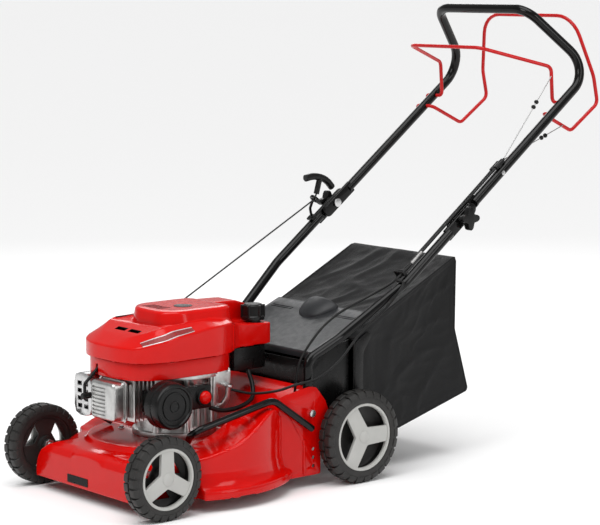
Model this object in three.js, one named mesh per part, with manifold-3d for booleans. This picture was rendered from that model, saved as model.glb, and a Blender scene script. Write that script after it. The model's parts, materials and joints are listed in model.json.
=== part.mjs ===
// A petrol lawn mower with a rear bag: a pressed steel deck on four wheels, a vertical-shaft
// engine, a folding handle with two control bails, a rear flap and a fabric grass bag.
//
// Millimetres. +Z is up, the mower drives towards -Y, and +X is its left side.
// The pieces are laid out with Y = 0 at the front wheels' axis and Z = 0 on the ground.
// The root group then moves the mower so that the origin is under the middle of its bounding box.

import * as THREE from 'three';
import { mergeVertices } from 'three/addons/utils/BufferGeometryUtils.js';
import Module from 'manifold-3d';

const wasm = await Module();
wasm.setup();

// ---------------------------------------------------------------- driving dimensions

const GAP = 0.3; // what two touching pieces keep between them
const RUN = 0.3; // radial clearance of a shaft in its hole

// wheels
const FRONT_R = 75;
const REAR_R = 87.5;
const FRONT_RIM = 56;
const REAR_RIM = 65;
const TYRE_W = 35;
const WHEEL_OUT = 208; // outer face of every wheel, from the middle
const WHEEL_IN = WHEEL_OUT - TYRE_W;
const WHEELBASE = 457.5;
const AXLE_R = 6;
const AXLE_END = 198;

// deck
const DECK_HALF = 165; // half width of the flat sides
const DECK_FRONT = -31;
const DECK_BOTTOM = 22;
const DECK_TOP = 96;
const PLATFORM_TOP = 106; // raised round seat under the engine
const PLATFORM_R = 160;
const DRUM_R = 207; // round wall over the blade
const FLANGE_R = 221;
const DECK_T = 2; // sheet thickness
const DRUM_SIDES = 36;
const CHUTE_FLOOR = 131;
const ROOF_REAR = 364; // rear edge of the discharge tunnel's roof
const ROOF_TOP = 189;

// engine, on the crankshaft's axis
const CRANK_Y = 168;
const CASE_R = 70;
const CASE_TOP = 226;
const BLOWER_TOP = 258;
const SHROUD_TOP = 342;
const CYL_X = 15; // the cylinder lies forward, a little left of the middle
const CYL_Z = 187;
const TANK_Y = 332; // fuel filler

// starter rope: eye of the guide on the handle, hole in the shroud, and its end by the reel
const GUIDE = [-165, 652, 494];
const ROPE_ENTRY = [-77, 208, 314];
const ROPE_INSIDE = [-52, 180, 288];

// handle
const TUBE_R = 9.5;
const HANDLE_ANGLE = THREE.MathUtils.degToRad(37.1);
const PIVOT_Y = 724;
const PIVOT_Z = 480.7;
const UPPER_X = 185.5; // middle of the upper tube's side runs
const LOWER_X = 192;
const FLAT_T = 8; // pressed flat end of a tube
const FLAT_W = 25;
const FLAT_REACH = 38; // how far a flat end passes the pivot
const BAIL_R = 3.75;
const BAIL_X = 160;
const BRAKE_PIVOT = [1003, 691.7]; // Y and Z of each bail's pivot
const DRIVE_PIVOT = [975, 670.5];
const BAR_Y = 958; // grip bar across the top
const BAR_Z = 878;

// rear
const CHUTE_IN = 137; // inside half width of the discharge chute
const CHUTE_REAR = 476;
const FLAP_HALF = 135;
const HINGE_Y = 392;
const HINGE_Z = 240;
const FLAP_REAR_Y = 533;
const FLAP_REAR_Z = 308;
const BAG_HALF = 150;
const BAG_FRONT = 482;

// drive
const BELT_Y = 412; // gearbox input shaft
const PULLEY_R = 26;
const BELT_T = 5;
const BELT_Z = 82;

// where the mower's box has its middle, along Y
const FRONT_END = -FRONT_R;
const REAR_END = 1138;
const MIDDLE_Y = (FRONT_END + REAR_END) / 2;

// ---------------------------------------------------------------- materials

function material(color, roughness, metalness) {
  return new THREE.MeshStandardMaterial({ color, roughness, metalness });
}

const RED_PAINT = material(0xd40f0a, 0.25, 0.1);
const RED_PLASTIC = material(0xd8120c, 0.35, 0);
const BLACK_PAINT = material(0x141414, 0.3, 0.2);
const BLACK_PLASTIC = material(0x1b1b1c, 0.5, 0);
const DARK_PLASTIC = material(0x3c3c3e, 0.6, 0);
const GREY_PLASTIC = material(0xb9b9b4, 0.45, 0);
const TYRE_BLACK = material(0x2b2a29, 0.8, 0);
const RUBBER = material(0x1c1c1c, 0.7, 0);
const CAST = material(0xb4b4b2, 0.4, 0.8);
const STEEL = material(0x9a9a9a, 0.35, 0.9);
const ZINC = material(0xc8c8c8, 0.3, 0.9);
const FABRIC = material(0x2a2a2a, 0.9, 0);

// ---------------------------------------------------------------- solids

function signedVolume(geometry) {
  const p = geometry.attributes.position;
  const index = geometry.index.array;
  const corners = [new THREE.Vector3(), new THREE.Vector3(), new THREE.Vector3()];
  let sum = 0;
  for (let i = 0; i < index.length; i += 3) {
    corners.forEach((corner, k) => corner.fromBufferAttribute(p, index[i + k]));
    sum += corners[0].dot(corners[1].clone().cross(corners[2]));
  }
  return sum;
}

// shared corners merged, slivers dropped, faces pointing out
function clean(geometry) {
  const bare = new THREE.BufferGeometry();
  bare.setAttribute('position', geometry.getAttribute('position'));
  bare.setIndex(geometry.index);
  const merged = mergeVertices(bare, 1e-3);
  const kept = [];
  const index = merged.index.array;
  for (let i = 0; i < index.length; i += 3) {
    const [a, b, c] = index.slice(i, i + 3);
    if (a !== b && b !== c && c !== a) kept.push(a, b, c);
  }
  merged.setIndex(kept);
  if (signedVolume(merged) < 0) {
    for (let i = 0; i < kept.length; i += 3) [kept[i], kept[i + 1]] = [kept[i + 1], kept[i]];
    merged.setIndex(kept);
  }
  return merged;
}

function toSolid(shape) {
  if (!shape.isBufferGeometry) return shape;
  const geometry = clean(shape);
  return new wasm.Manifold(
    new wasm.Mesh({
      numProp: 3,
      vertProperties: Float32Array.from(geometry.attributes.position.array),
      triVerts: Uint32Array.from(geometry.index.array),
    }),
  );
}

function toGeometry(shape) {
  if (shape.isBufferGeometry) return clean(shape);
  const mesh = shape.getMesh();
  const geometry = new THREE.BufferGeometry();
  geometry.setAttribute('position', new THREE.BufferAttribute(mesh.vertProperties, 3));
  geometry.setIndex(new THREE.BufferAttribute(mesh.triVerts, 1));
  return geometry;
}

const join = (first, ...rest) => rest.reduce((sum, one) => sum.add(toSolid(one)), toSolid(first));
const cut = (first, ...rest) => rest.reduce((sum, one) => sum.subtract(toSolid(one)), toSolid(first));
const common = (first, other) => toSolid(first).intersect(toSolid(other));

function box(x0, x1, y0, y1, z0, z1) {
  const geometry = new THREE.BoxGeometry(x1 - x0, y1 - y0, z1 - z0);
  return geometry.translate((x0 + x1) / 2, (y0 + y1) / 2, (z0 + z1) / 2);
}

// a shape given as [a, b] points, with every corner rounded by about `radius`
function rounded(points, radius, curve = 3) {
  const shape = new THREE.Shape();
  const at = (i) => new THREE.Vector2(...points[(i + points.length) % points.length]);
  points.forEach((point, i) => {
    const corner = at(i);
    const before = at(i - 1).sub(corner);
    const after = at(i + 1).sub(corner);
    const reach = Math.min(radius, before.length() / 2.2, after.length() / 2.2);
    const start = corner.clone().addScaledVector(before.normalize(), reach);
    const end = corner.clone().addScaledVector(after.normalize(), reach);
    if (i === 0) shape.moveTo(start.x, start.y);
    else shape.lineTo(start.x, start.y);
    shape.quadraticCurveTo(corner.x, corner.y, end.x, end.y);
  });
  shape.closePath();
  return new THREE.Shape(shape.getPoints(curve).slice(0, -1));
}

const outline = (points) => new THREE.Shape(points.map(([a, b]) => new THREE.Vector2(a, b)));

// an outline in (Y, Z), thick along X
function slabX(shape, x0, x1) {
  const geometry = new THREE.ExtrudeGeometry(shape, { depth: x1 - x0, bevelEnabled: false });
  const axes = new THREE.Matrix4().makeBasis(
    new THREE.Vector3(0, 1, 0),
    new THREE.Vector3(0, 0, 1),
    new THREE.Vector3(1, 0, 0),
  );
  return geometry.applyMatrix4(axes).translate(x0, 0, 0);
}

// an outline in (X, Z), thick along Y
function slabY(shape, y0, y1) {
  const geometry = new THREE.ExtrudeGeometry(shape, { depth: y1 - y0, bevelEnabled: false });
  return geometry.rotateX(Math.PI / 2).translate(0, y1, 0);
}

// an outline in (X, Y), thick along Z
function slabZ(shape, z0, z1) {
  const geometry = new THREE.ExtrudeGeometry(shape, { depth: z1 - z0, bevelEnabled: false });
  return geometry.translate(0, 0, z0);
}

// a solid of revolution about Z, from [radius, height] points
function spunZ(points, sides) {
  const profile = points.map(([r, h]) => new THREE.Vector2(r, h));
  return new THREE.LatheGeometry([...profile, profile[0]], sides).rotateX(Math.PI / 2);
}

// the same about X, from [radius, distance along X] points, with a flat facet at the bottom
function spunX(points, sides) {
  const turn = Math.PI / sides;
  return spunZ(points, sides).rotateY(Math.PI / 2).rotateX(turn);
}

const polygonR = (radius, sides) => radius / Math.cos(Math.PI / sides);

function rodX(radius, x0, x1, y, z, sides = 12) {
  return new THREE.CylinderGeometry(radius, radius, x1 - x0, sides)
    .rotateZ(Math.PI / 2)
    .translate((x0 + x1) / 2, y, z);
}

function rodY(radius, x, y0, y1, z, sides = 12) {
  return new THREE.CylinderGeometry(radius, radius, y1 - y0, sides).translate(x, (y0 + y1) / 2, z);
}

function rodZ(radius, x, y, z0, z1, sides = 12) {
  return new THREE.CylinderGeometry(radius, radius, z1 - z0, sides)
    .rotateX(Math.PI / 2)
    .translate(x, y, (z0 + z1) / 2);
}

// the centre line of a bent tube: straight runs joined by round bends
class BentPath extends THREE.Curve {
  constructor(corners, bendRadius, step = Math.PI / 12) {
    super();
    const points = corners.map((corner) => new THREE.Vector3(...corner));
    const last = points.length - 1;
    this.stops = [points[0]];
    this.headings = [points[1].clone().sub(points[0]).normalize()];
    for (let i = 1; i < last; i += 1) {
      const into = points[i].clone().sub(points[i - 1]).normalize();
      const away = points[i + 1].clone().sub(points[i]).normalize();
      const turn = into.angleTo(away);
      const radius = Array.isArray(bendRadius) ? bendRadius[i - 1] : bendRadius;
      const inward = away.clone().addScaledVector(into, -into.dot(away)).normalize();
      const start = points[i].clone().addScaledVector(into, -radius * Math.tan(turn / 2));
      const centre = start.clone().addScaledVector(inward, radius);
      const count = Math.max(1, Math.round(turn / step));
      for (let k = 0; k <= count; k += 1) {
        const angle = (turn * k) / count;
        const stop = centre.clone().addScaledVector(inward, -radius * Math.cos(angle));
        this.stops.push(stop.addScaledVector(into, radius * Math.sin(angle)));
        const heading = into.clone().multiplyScalar(Math.cos(angle));
        this.headings.push(heading.addScaledVector(inward, Math.sin(angle)));
      }
    }
    this.stops.push(points[last]);
    this.headings.push(points[last].clone().sub(points[last - 1]).normalize());
  }

  getSpacedPoints() {
    return this.stops;
  }

  getTangentAt(u, target = new THREE.Vector3()) {
    return target.copy(this.headings[Math.round(u * (this.stops.length - 1))]);
  }
}

function ring(radius, sides) {
  const points = [];
  for (let i = 0; i < sides; i += 1) {
    const angle = (2 * Math.PI * (i + 0.5)) / sides;
    points.push(new THREE.Vector2(radius * Math.cos(angle), radius * Math.sin(angle)));
  }
  return new THREE.Shape(points);
}

function bentTube(corners, bendRadius, radius, sides = 10, step = Math.PI / 12) {
  const path = new BentPath(corners, bendRadius, step);
  const steps = path.stops.length - 1;
  return new THREE.ExtrudeGeometry(ring(radius, sides), { steps, extrudePath: path });
}

function softTube(points, radius, steps, sides = 6) {
  const stops = points.map((point) => new THREE.Vector3(...point));
  const path = new THREE.CatmullRomCurve3(stops, false, 'centripetal');
  return new THREE.ExtrudeGeometry(ring(radius, sides), { steps, extrudePath: path });
}

// a skin over rings that all have the same number of points, closed at both ends
function loft(rings) {
  const count = rings[0].length;
  const positions = rings.flat().flatMap((point) => point.toArray());
  const index = [];
  for (let r = 0; r + 1 < rings.length; r += 1) {
    for (let i = 0; i < count; i += 1) {
      const a = r * count + i;
      const b = r * count + ((i + 1) % count);
      index.push(a, b, b + count, a, b + count, a + count);
    }
  }
  const cap = (points, offset, flip) => {
    const flat = points.map((point) => new THREE.Vector2(point.x, point.y));
    THREE.ShapeUtils.triangulateShape(flat, []).forEach(([a, b, c]) => {
      if (flip) index.push(offset + a, offset + c, offset + b);
      else index.push(offset + a, offset + b, offset + c);
    });
  };
  cap(rings[0], 0, true);
  cap(rings.at(-1), (rings.length - 1) * count, false);
  const geometry = new THREE.BufferGeometry();
  geometry.setAttribute('position', new THREE.Float32BufferAttribute(positions, 3));
  geometry.setIndex(index);
  return geometry;
}

const mower = new THREE.Group();
mower.position.y = -MIDDLE_Y;

function add(name, shape, look, place = [0, 0, 0]) {
  const mesh = new THREE.Mesh(toGeometry(shape), look);
  mesh.name = name;
  mesh.position.set(...place);
  mower.add(mesh);
}

const SIDES = [
  ['left', 1],
  ['right', -1],
];

// an X range on the left side, or its mirror image on the right
const span = (side, a, b) => (side > 0 ? [a, b] : [-b, -a]);

// ---------------------------------------------------------------- wheels

const WHEEL_SIDES = 28;
const HUB_R = 16;

// Tyre and black wheel in one moulding, in its own frame: X = 0 is the inner face.
function wheel(radius, rim, openWeb) {
  const tread = polygonR(radius, WHEEL_SIDES);
  const body = spunX(
    [
      [AXLE_R + RUN, 0],
      [tread - 7, 0],
      [tread, 5],
      [tread, TYRE_W - 5],
      [tread - 7, TYRE_W],
      [rim, TYRE_W],
      [rim, 6],
      [HUB_R, 6],
      [HUB_R, 24],
      [AXLE_R + RUN, 24],
    ],
    WHEEL_SIDES,
  );
  if (!openWeb) return body;
  return cut(body, ...webWindows(rim));
}

function webWindows(rim) {
  return [0, 1, 2].map((k) => {
    const window = rounded(
      [
        [-9, HUB_R + 8],
        [9, HUB_R + 8],
        [26, rim - 12],
        [-26, rim - 12],
      ],
      4,
      1,
    );
    return slabX(window, -1, 7).rotateX((2 * Math.PI * k) / 3 + Math.PI);
  });
}

// Light grey cap: a rim ring, three wide spokes and three openings.
function hubCap(rim, spokeHalf, firstSpoke) {
  const outer = rim - 0.5;
  const inner = rim - 7;
  const shape = ring(outer, 24);
  const corner = spokeHalf / Math.sin(Math.PI / 3);
  const edge = Math.asin(spokeHalf / inner);
  for (let k = 0; k < 3; k += 1) {
    const spoke = firstSpoke + (2 * Math.PI * k) / 3;
    const from = spoke + edge;
    const to = spoke + (2 * Math.PI) / 3 - edge;
    const between = spoke + Math.PI / 3;
    const hole = [new THREE.Vector2(corner * Math.cos(between), corner * Math.sin(between))];
    for (let i = 0; i <= 4; i += 1) {
      const angle = from + ((to - from) * i) / 4;
      hole.push(new THREE.Vector2(inner * Math.cos(angle), inner * Math.sin(angle)));
    }
    shape.holes.push(new THREE.Path(hole));
  }
  return slabX(shape, 25, 33);
}

function addWheel(end, side, name, radius, rim, y, spokeHalf, firstSpoke) {
  const flip = side < 0;
  const body = toGeometry(wheel(radius, rim, end === 'front'));
  const cap = toGeometry(hubCap(rim, spokeHalf, firstSpoke));
  if (flip) [body, cap].forEach((one) => one.rotateZ(Math.PI));
  const place = [side * WHEEL_IN, y, radius];
  add(`${end}_wheel_${name}`, body, TYRE_BLACK, place);
  add(`${end}_hub_cap_${name}`, cap, GREY_PLASTIC, place);
}

SIDES.forEach(([name, side]) => {
  addWheel('front', side, name, FRONT_R, FRONT_RIM, 0, 13, Math.PI / 2);
  addWheel('rear', side, name, REAR_R, REAR_RIM, WHEELBASE, 15, 0);
});

// ---------------------------------------------------------------- axles

SIDES.forEach(([name, side]) => {
  const stub = join(
    rodX(AXLE_R, ...span(side, 112, AXLE_END), 0, FRONT_R),
    rodX(11, ...span(side, DECK_HALF - 3, WHEEL_IN - 1), 0, FRONT_R, 8),
    rodX(9, ...span(side, 113, 117), 0, FRONT_R, 8),
  );
  add(`front_axle_${name}`, stub, STEEL);
});
add('rear_axle', rodX(AXLE_R, -AXLE_END, AXLE_END, WHEELBASE, REAR_R), STEEL);

// ---------------------------------------------------------------- deck

// Recess that the front wheel turns in, with a rounded rear corner; `t` draws it wider.
function wheelWell(side, t) {
  const wall = DECK_HALF - t;
  const back = FRONT_R + 7 + t;
  const shape = outline([
    [side * wall, -80],
    [side * wall, back - 18],
    [side * (wall + 4), back - 6],
    [side * (wall + 16), back],
    [side * 240, back],
    [side * 240, -80],
  ]);
  return slabZ(shape, 0, 200);
}

// Cross-section of the front of the deck: its sides curve over into the top.
function crownOutline(foot, t) {
  const low = 36;
  const spread = 75;
  const corners = [];
  for (let i = 0; i <= 5; i += 1) {
    const angle = (Math.PI * i) / 10;
    const x = DECK_HALF - t - spread * (1 - Math.cos(angle));
    corners.push([x, low + (DECK_TOP - t - low) * Math.sin(angle)]);
  }
  const mirrored = corners.map(([x, z]) => [-x, z]).reverse();
  return outline([[DECK_HALF - t, foot], ...corners, ...mirrored, [-DECK_HALF + t, foot]]);
}

// The deck as a full body, drawn in by `t` all round; the sheet is the difference of two.
function deckBody(t) {
  const foot = t > 0 ? DECK_BOTTOM - 5 : DECK_BOTTOM;
  const drum = spunZ(
    [
      [0, foot],
      [FLANGE_R - t, foot],
      [FLANGE_R - t, 38],
      [DRUM_R + 4 - t, 46],
      [DRUM_R - t, 52],
      [DRUM_R - 4 - t, 84],
      [DRUM_R - 17 - t, DECK_TOP - 4 - t],
      [PLATFORM_R + 4 - t, DECK_TOP - t],
      [PLATFORM_R - t, PLATFORM_TOP - t],
      [0, PLATFORM_TOP - t],
    ],
    DRUM_SIDES,
  ).translate(0, CRANK_Y, 0);
  const haunches = SIDES.map(([, side]) =>
    common(
      slabX(
        outline([
          [79, foot],
          [79, DECK_TOP - 1 - t],
          [121, 105 - t],
          [162, 118 - t],
          [201, 138 - t],
          [237, 159 - t],
          [262, 163 - t],
          [280, 150 - t],
          [293, 138 - t],
          [293, foot],
        ]),
        ...span(side, 115 + t, DRUM_R - t),
      ),
      rodZ(DRUM_R - 2 - t, 0, CRANK_Y, 0, 300, DRUM_SIDES),
    ),
  );
  const round = join(drum, ...haunches);
  const frontPlane = box(-300, 300, DECK_FRONT + t, 500, 0, 300);
  const nose = slabX(
    outline([
      [DECK_FRONT + t, foot],
      [DECK_FRONT + t, 74 - t],
      [DECK_FRONT + 5 + t, 86 - t],
      [DECK_FRONT + 19 + t, 93 - t],
      [60, DECK_TOP - t],
      [60, foot],
    ]),
    -DECK_HALF + t,
    DECK_HALF - t,
  );
  const crown = slabY(crownOutline(foot, t), DECK_FRONT, 60);
  const tunnel = slabX(
    outline([
      [200, foot],
      [200, 96 - t],
      [248, 104 - t],
      [304, 163 - t],
      [ROOF_REAR - t, ROOF_TOP - t],
      [ROOF_REAR - t, foot],
    ]),
    -DECK_HALF + t,
    DECK_HALF - t,
  );
  const rear = box(-300, 300, ROOF_REAR - t, 500, 0, 300);
  const whole = join(common(round, frontPlane), common(nose, crown), tunnel);
  return cut(whole, wheelWell(1, t), wheelWell(-1, t), rear);
}

// Flat plate on each side that carries the handle's foot and the rear axle.
function sidePlate(side) {
  const plate = slabX(
    outline([
      [284, DECK_BOTTOM],
      [384, DECK_BOTTOM],
      [384, 62],
      [474, 62],
      [474, 114],
      [404, 140],
      [396, 160],
      [374, 187],
      [ROOF_REAR - 7, ROOF_TOP + 1],
      [284, 178],
    ]),
    ...span(side, DECK_HALF - DECK_T, DECK_HALF),
  );
  const holes = [39, 55, 71].map((z) => rodX(3.5, ...span(side, 150, 180), 367, z, 8));
  return cut(plate, ...holes);
}

function deckShell() {
  const axleHoles = [
    rodX(AXLE_R + RUN, -180, 180, 0, FRONT_R),
    rodX(AXLE_R + RUN, -180, 180, WHEELBASE, REAR_R),
  ];
  const footHoles = SIDES.flatMap(([, side]) => [
    rodZ(TUBE_R + 1, side * 153, 363, 120, 200, 10),
    rodX(4 + RUN, ...span(side, 150, 180), 363, 139, 8),
    rodZ(5, side * 143, 342, 165, 200, 8),
  ]);
  const shell = cut(deckBody(0), deckBody(DECK_T));
  return cut(
    join(shell, sidePlate(1), sidePlate(-1)),
    box(-DECK_HALF + DECK_T, DECK_HALF - DECK_T, ROOF_REAR - 10, ROOF_REAR + 10, CHUTE_FLOOR, ROOF_TOP - 8),
    box(-PULLEY_R - 12, PULLEY_R + 12, ROOF_REAR - 10, ROOF_REAR + 10, BELT_Z - 9, BELT_Z + 9),
    rodZ(32, 0, CRANK_Y, 80, 120, 16),
    ...axleHoles,
    ...footHoles,
  );
}

add('deck_shell', deckShell(), RED_PAINT);

SIDES.forEach(([name, side]) => {
  const brace = bentTube(
    [
      [side * 118, 110, PLATFORM_TOP + 7],
      [side * 168, 80, 140],
      [side * 175, 262, 178],
      [side * 173.5, 357, 112],
    ],
    [18, 30],
    6.5,
    8,
  );
  add(`side_brace_${name}`, brace, BLACK_PAINT);
});

// ---------------------------------------------------------------- engine

function crankcase() {
  const fins = [0, 1, 2, 3, 4, 5].map((k) =>
    box(CYL_X - 46, CYL_X + 46, 34 + 9 * k, 37 + 9 * k, CYL_Z - 38, CYL_Z + 37),
  );
  return cut(
    join(
      rodZ(CASE_R, 0, CRANK_Y, PLATFORM_TOP + GAP, CASE_TOP, 20),
      rodZ(78, 0, CRANK_Y, PLATFORM_TOP + GAP, 116, 20),
      rodZ(90, 0, CRANK_Y, CASE_TOP - 9, CASE_TOP, 20),
      box(CYL_X - 36, CYL_X + 36, 30, 130, CYL_Z - 30, CYL_Z + 30),
      ...fins,
      rodZ(6, 58, CRANK_Y + 60, 203, CASE_TOP - 5, 8),
      rodZ(3, 58, CRANK_Y + 60, 194, 205, 8),
    ),
    rodZ(12 + RUN, 0, CRANK_Y, 100, 240, 16),
  );
}

add('crankcase', crankcase(), CAST);

function valveCover() {
  const frame = rounded(
    [
      [CYL_X - 39, CYL_Z - 37],
      [CYL_X + 39, CYL_Z - 37],
      [CYL_X + 39, CYL_Z + 37],
      [CYL_X - 39, CYL_Z + 37],
    ],
    8,
    2,
  );
  const dome = rounded(
    [
      [CYL_X - 29, CYL_Z - 28],
      [CYL_X + 29, CYL_Z - 28],
      [CYL_X + 29, CYL_Z + 30],
      [CYL_X - 29, CYL_Z + 30],
    ],
    12,
    2,
  );
  const slots = [0, 1, 2, 3, 4, 5].map((k) => {
    const z = CYL_Z - 20 + 8 * k;
    return box(CYL_X - 20, CYL_X + 18, -8, -3, z, z + 3.5);
  });
  return cut(join(slabY(frame, 24, 30 - GAP), slabY(dome, -6, 25)), ...slots);
}

add('valve_cover', valveCover(), CAST);

const MUFFLER_X = -64;

function muffler() {
  const can = rounded(
    [
      [MUFFLER_X - 22, 152],
      [MUFFLER_X + 22, 152],
      [MUFFLER_X + 22, 220],
      [MUFFLER_X - 22, 220],
    ],
    14,
    2,
  );
  return join(slabY(can, 15, 62), rodX(9, MUFFLER_X + 10, CYL_X - 46 - GAP, 48, 190, 10));
}

function mufflerGuard() {
  const shape = (inset) =>
    rounded(
      [
        [MUFFLER_X - 28 + inset, 146 + inset],
        [MUFFLER_X + 26 - inset, 146 + inset],
        [MUFFLER_X + 26 - inset, 225 - inset],
        [MUFFLER_X - 28 + inset, 225 - inset],
      ],
      18 - inset,
      2,
    );
  const slots = [0, 1, 2, 3].flatMap((row) =>
    [0, 1].map((column) => {
      const x = MUFFLER_X - 18 + 20 * column;
      const z = 160 + 14 * row;
      return box(x, x + 14, 5, 13, z, z + 7);
    }),
  );
  return cut(
    slabY(shape(0), 8, 66),
    slabY(shape(2), 10, 70),
    ...slots,
    rodX(11, MUFFLER_X + 20, MUFFLER_X + 30, 48, 190, 10),
  );
}

add('muffler', muffler(), STEEL);
add('muffler_guard', mufflerGuard(), ZINC);

// Plug in the head, its rubber cap and the lead that rises into the shroud.
function sparkPlug() {
  const x = CYL_X - 44;
  return join(
    rodY(4.5, x, -4, 34 - GAP, 190, 8),
    rodY(6, x, -18, 4, 190, 8),
    bentTube(
      [
        [x, -12, 190],
        [x, -12, 212],
        [x, 24, 244],
      ],
      8,
      3.2,
      6,
    ),
  );
}

add('spark_plug', sparkPlug(), BLACK_PLASTIC);

const FILTER_Y = 66;
const FILTER_Z = 185;
const FILTER_IN = 105;
const PRIMER_Y = 155;
const PRIMER_Z = 187;

function carburettor() {
  const fin = CYL_X + 46;
  return cut(
    join(
      box(fin + GAP, FILTER_IN - GAP, 50, 98, 166, 206),
      rodZ(15, 84, 76, 146, 170, 12),
      box(94, FILTER_IN - GAP, 90, 174, 166, 208),
      rodX(16, 100, 112, PRIMER_Y, PRIMER_Z, 16),
    ),
    rodX(12.9, FILTER_IN - 1, 120, PRIMER_Y, PRIMER_Z, 16),
  );
}

add('carburettor', carburettor(), BLACK_PLASTIC);

function airFilterCover() {
  return spunX(
    [
      [0, 32],
      [0, 35],
      [30, 35],
      [33, 36],
      [38, 36],
      [42, 32],
      [43, 6],
      [43, 0],
      [40, 0],
      [39, 32],
    ],
    24,
  );
}

add('air_filter_cover', airFilterCover(), BLACK_PLASTIC, [FILTER_IN, FILTER_Y, FILTER_Z]);

add(
  'primer_bulb',
  spunX(
    [
      [0, 0],
      [12.5, 0],
      [12.5, 3],
      [11, 7],
      [7, 10],
      [0, 11],
    ],
    16,
  ),
  RED_PLASTIC,
  [FILTER_IN + 4.5, PRIMER_Y, PRIMER_Z],
);

// Outline of the blower housing and, with the tank's tail, of the shroud.
function cowlOutline(inset, tail) {
  const end = tail ? 362 - inset : 264 - inset;
  const half = [
    [40, 8 + inset],
    [88 - inset, 28 + inset],
    [106 - inset, 78],
    [107 - inset, 196],
    [88 - inset, 240],
    [58 - inset, tail ? 268 : 258 - inset],
    [54 - inset, end],
  ];
  const mirrored = half.map(([x, y]) => [-x, y]).reverse();
  return rounded([...half, ...mirrored], 16, 1);
}

function blowerHousing() {
  return cut(
    slabZ(cowlOutline(6, false), CASE_TOP + GAP, BLOWER_TOP - GAP),
    slabZ(cowlOutline(9, false), CASE_TOP + 3, BLOWER_TOP + 5),
    rodZ(14, 0, CRANK_Y, CASE_TOP - 5, CASE_TOP + 5, 16),
    box(CYL_X - 49, CYL_X - 39, 0, 24, CASE_TOP - 5, CASE_TOP + 20),
  );
}

add('blower_housing', blowerHousing(), RED_PLASTIC);

const BROW_INSET = 28; // the roof is flat inside this distance from the walls
const TAIL_Y = 264;

// Walls that rise towards the rear, a roof that climbs from the nose, the raised island over
// the recoil starter, and a lower tail round the fuel filler.
function shroudBody(inset) {
  const foot = inset > 0 ? BLOWER_TOP - 5 : BLOWER_TOP;
  const layer = (shrink, height) =>
    cowlOutline(inset + shrink, false)
      .getPoints()
      .map((point) => new THREE.Vector3(point.x, point.y, height(point.y)));
  const clamp = THREE.MathUtils.clamp;
  const wallTop = (y) => 286 + 27 * clamp((y - 20) / 130, 0, 1) - inset;
  const brow = (y) => 323 - 23 * clamp((115 - y) / 79, 0, 1) ** 1.6 - inset;
  const body = loft([layer(0, () => foot), layer(0, wallTop), layer(BROW_INSET, brow)]);
  const tail = common(
    slabX(
      outline([
        [200, foot],
        [200, 313 - inset],
        [TAIL_Y, 306 - inset],
        [304, 300 - inset],
        [362 - inset, 297 - inset],
        [362 - inset, foot],
      ]),
      -80,
      80,
    ),
    slabZ(cowlOutline(inset, true), foot - 1, SHROUD_TOP),
  );
  const plan = (grow) =>
    rounded(
      [
        [-40, 104 - grow + inset],
        [44, 104 - grow + inset],
        [72 + grow - inset, 128],
        [72 + grow - inset, 228],
        [60 - inset, 256 + grow - inset],
        [-60 + inset, 256 + grow - inset],
        [-72 - grow + inset, 228],
        [-72 - grow + inset, 128],
      ],
      16,
      2,
    )
      .getPoints()
      .map((point) => [point.x, point.y]);
  const ring = (grow, z) => plan(grow).map(([x, y]) => new THREE.Vector3(x, y, z));
  const island = loft([
    ring(3, 300 - inset),
    ring(3, 324 - inset),
    ring(0, SHROUD_TOP - 3 - inset),
    ring(-5, SHROUD_TOP - inset),
  ]);
  const hump = slabX(
    outline([
      [220, 300 - inset],
      [220, SHROUD_TOP - 1 - inset],
      [312 - inset, SHROUD_TOP - 4 - inset],
      [356 - inset, 323 - inset],
      [356 - inset, foot],
      [300, foot],
    ]),
    -52 + inset,
    4 - inset,
  );
  return join(body, tail, island, hump);
}

// the point `reach` from `a` on the way to `b`
function towards(a, b, reach) {
  const start = new THREE.Vector3(...a);
  const way = new THREE.Vector3(...b).sub(start).normalize();
  return start.addScaledVector(way, reach).toArray();
}

function engineShroud() {
  const shell = cut(shroudBody(0), shroudBody(3));
  const slots = [0, 1, 2, 3].map((k) => box(-26 + 12 * k, -20 + 12 * k, 116, 138, 330, 350));
  const intakes = [box(-22, 4, 56, 64, 295, 330), box(20, 46, 56, 64, 295, 330)];
  return cut(
    join(shell, rodZ(5, 0, CRANK_Y, 262, SHROUD_TOP - 1, 10)),
    ...slots,
    ...intakes,
    rodZ(16, 30, TANK_Y, 280, 340, 16),
    rodZ(25, 30, TANK_Y, 303 - GAP, 360, 16),
    bentTube([towards(ROPE_ENTRY, ROPE_INSIDE, 10), ROPE_ENTRY, towards(ROPE_ENTRY, GUIDE, 40)], 5, 4.5, 8, 1),
  );
}

add('engine_shroud', engineShroud(), RED_PLASTIC);

add(
  'recoil_reel',
  spunZ(
    [
      [5 + RUN, 264],
      [46, 264],
      [46, 267],
      [38, 267],
      [38, 274],
      [46, 274],
      [46, 277],
      [5 + RUN, 277],
    ],
    20,
  ).translate(0, CRANK_Y, 0),
  BLACK_PLASTIC,
);

function fuelTank() {
  const body = rounded(
    [
      [-50, 270],
      [50, 270],
      [48, 354],
      [-48, 354],
    ],
    16,
    2,
  );
  return join(slabZ(body, 212, BLOWER_TOP - 2), rodZ(14, 30, TANK_Y, 250, 308, 14));
}

add('fuel_tank', fuelTank(), BLACK_PLASTIC);

function fuelCap() {
  const grips = [];
  for (let k = 0; k < 6; k += 1) {
    const angle = (2 * Math.PI * k) / 6;
    grips.push(rodZ(3, 20 * Math.cos(angle), 21 * Math.sin(angle), 4, 28, 6));
  }
  return join(
    spunZ(
      [
        [14 + RUN, 0],
        [22, 0],
        [22, 6],
        [20, 8],
        [20, 27],
        [16, 30],
        [0, 30],
        [0, 8 + GAP],
        [14 + RUN, 8 + GAP],
      ],
      16,
    ),
    ...grips,
  );
}

add('fuel_cap', fuelCap(), BLACK_PLASTIC, [30, TANK_Y, 303]);

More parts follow.
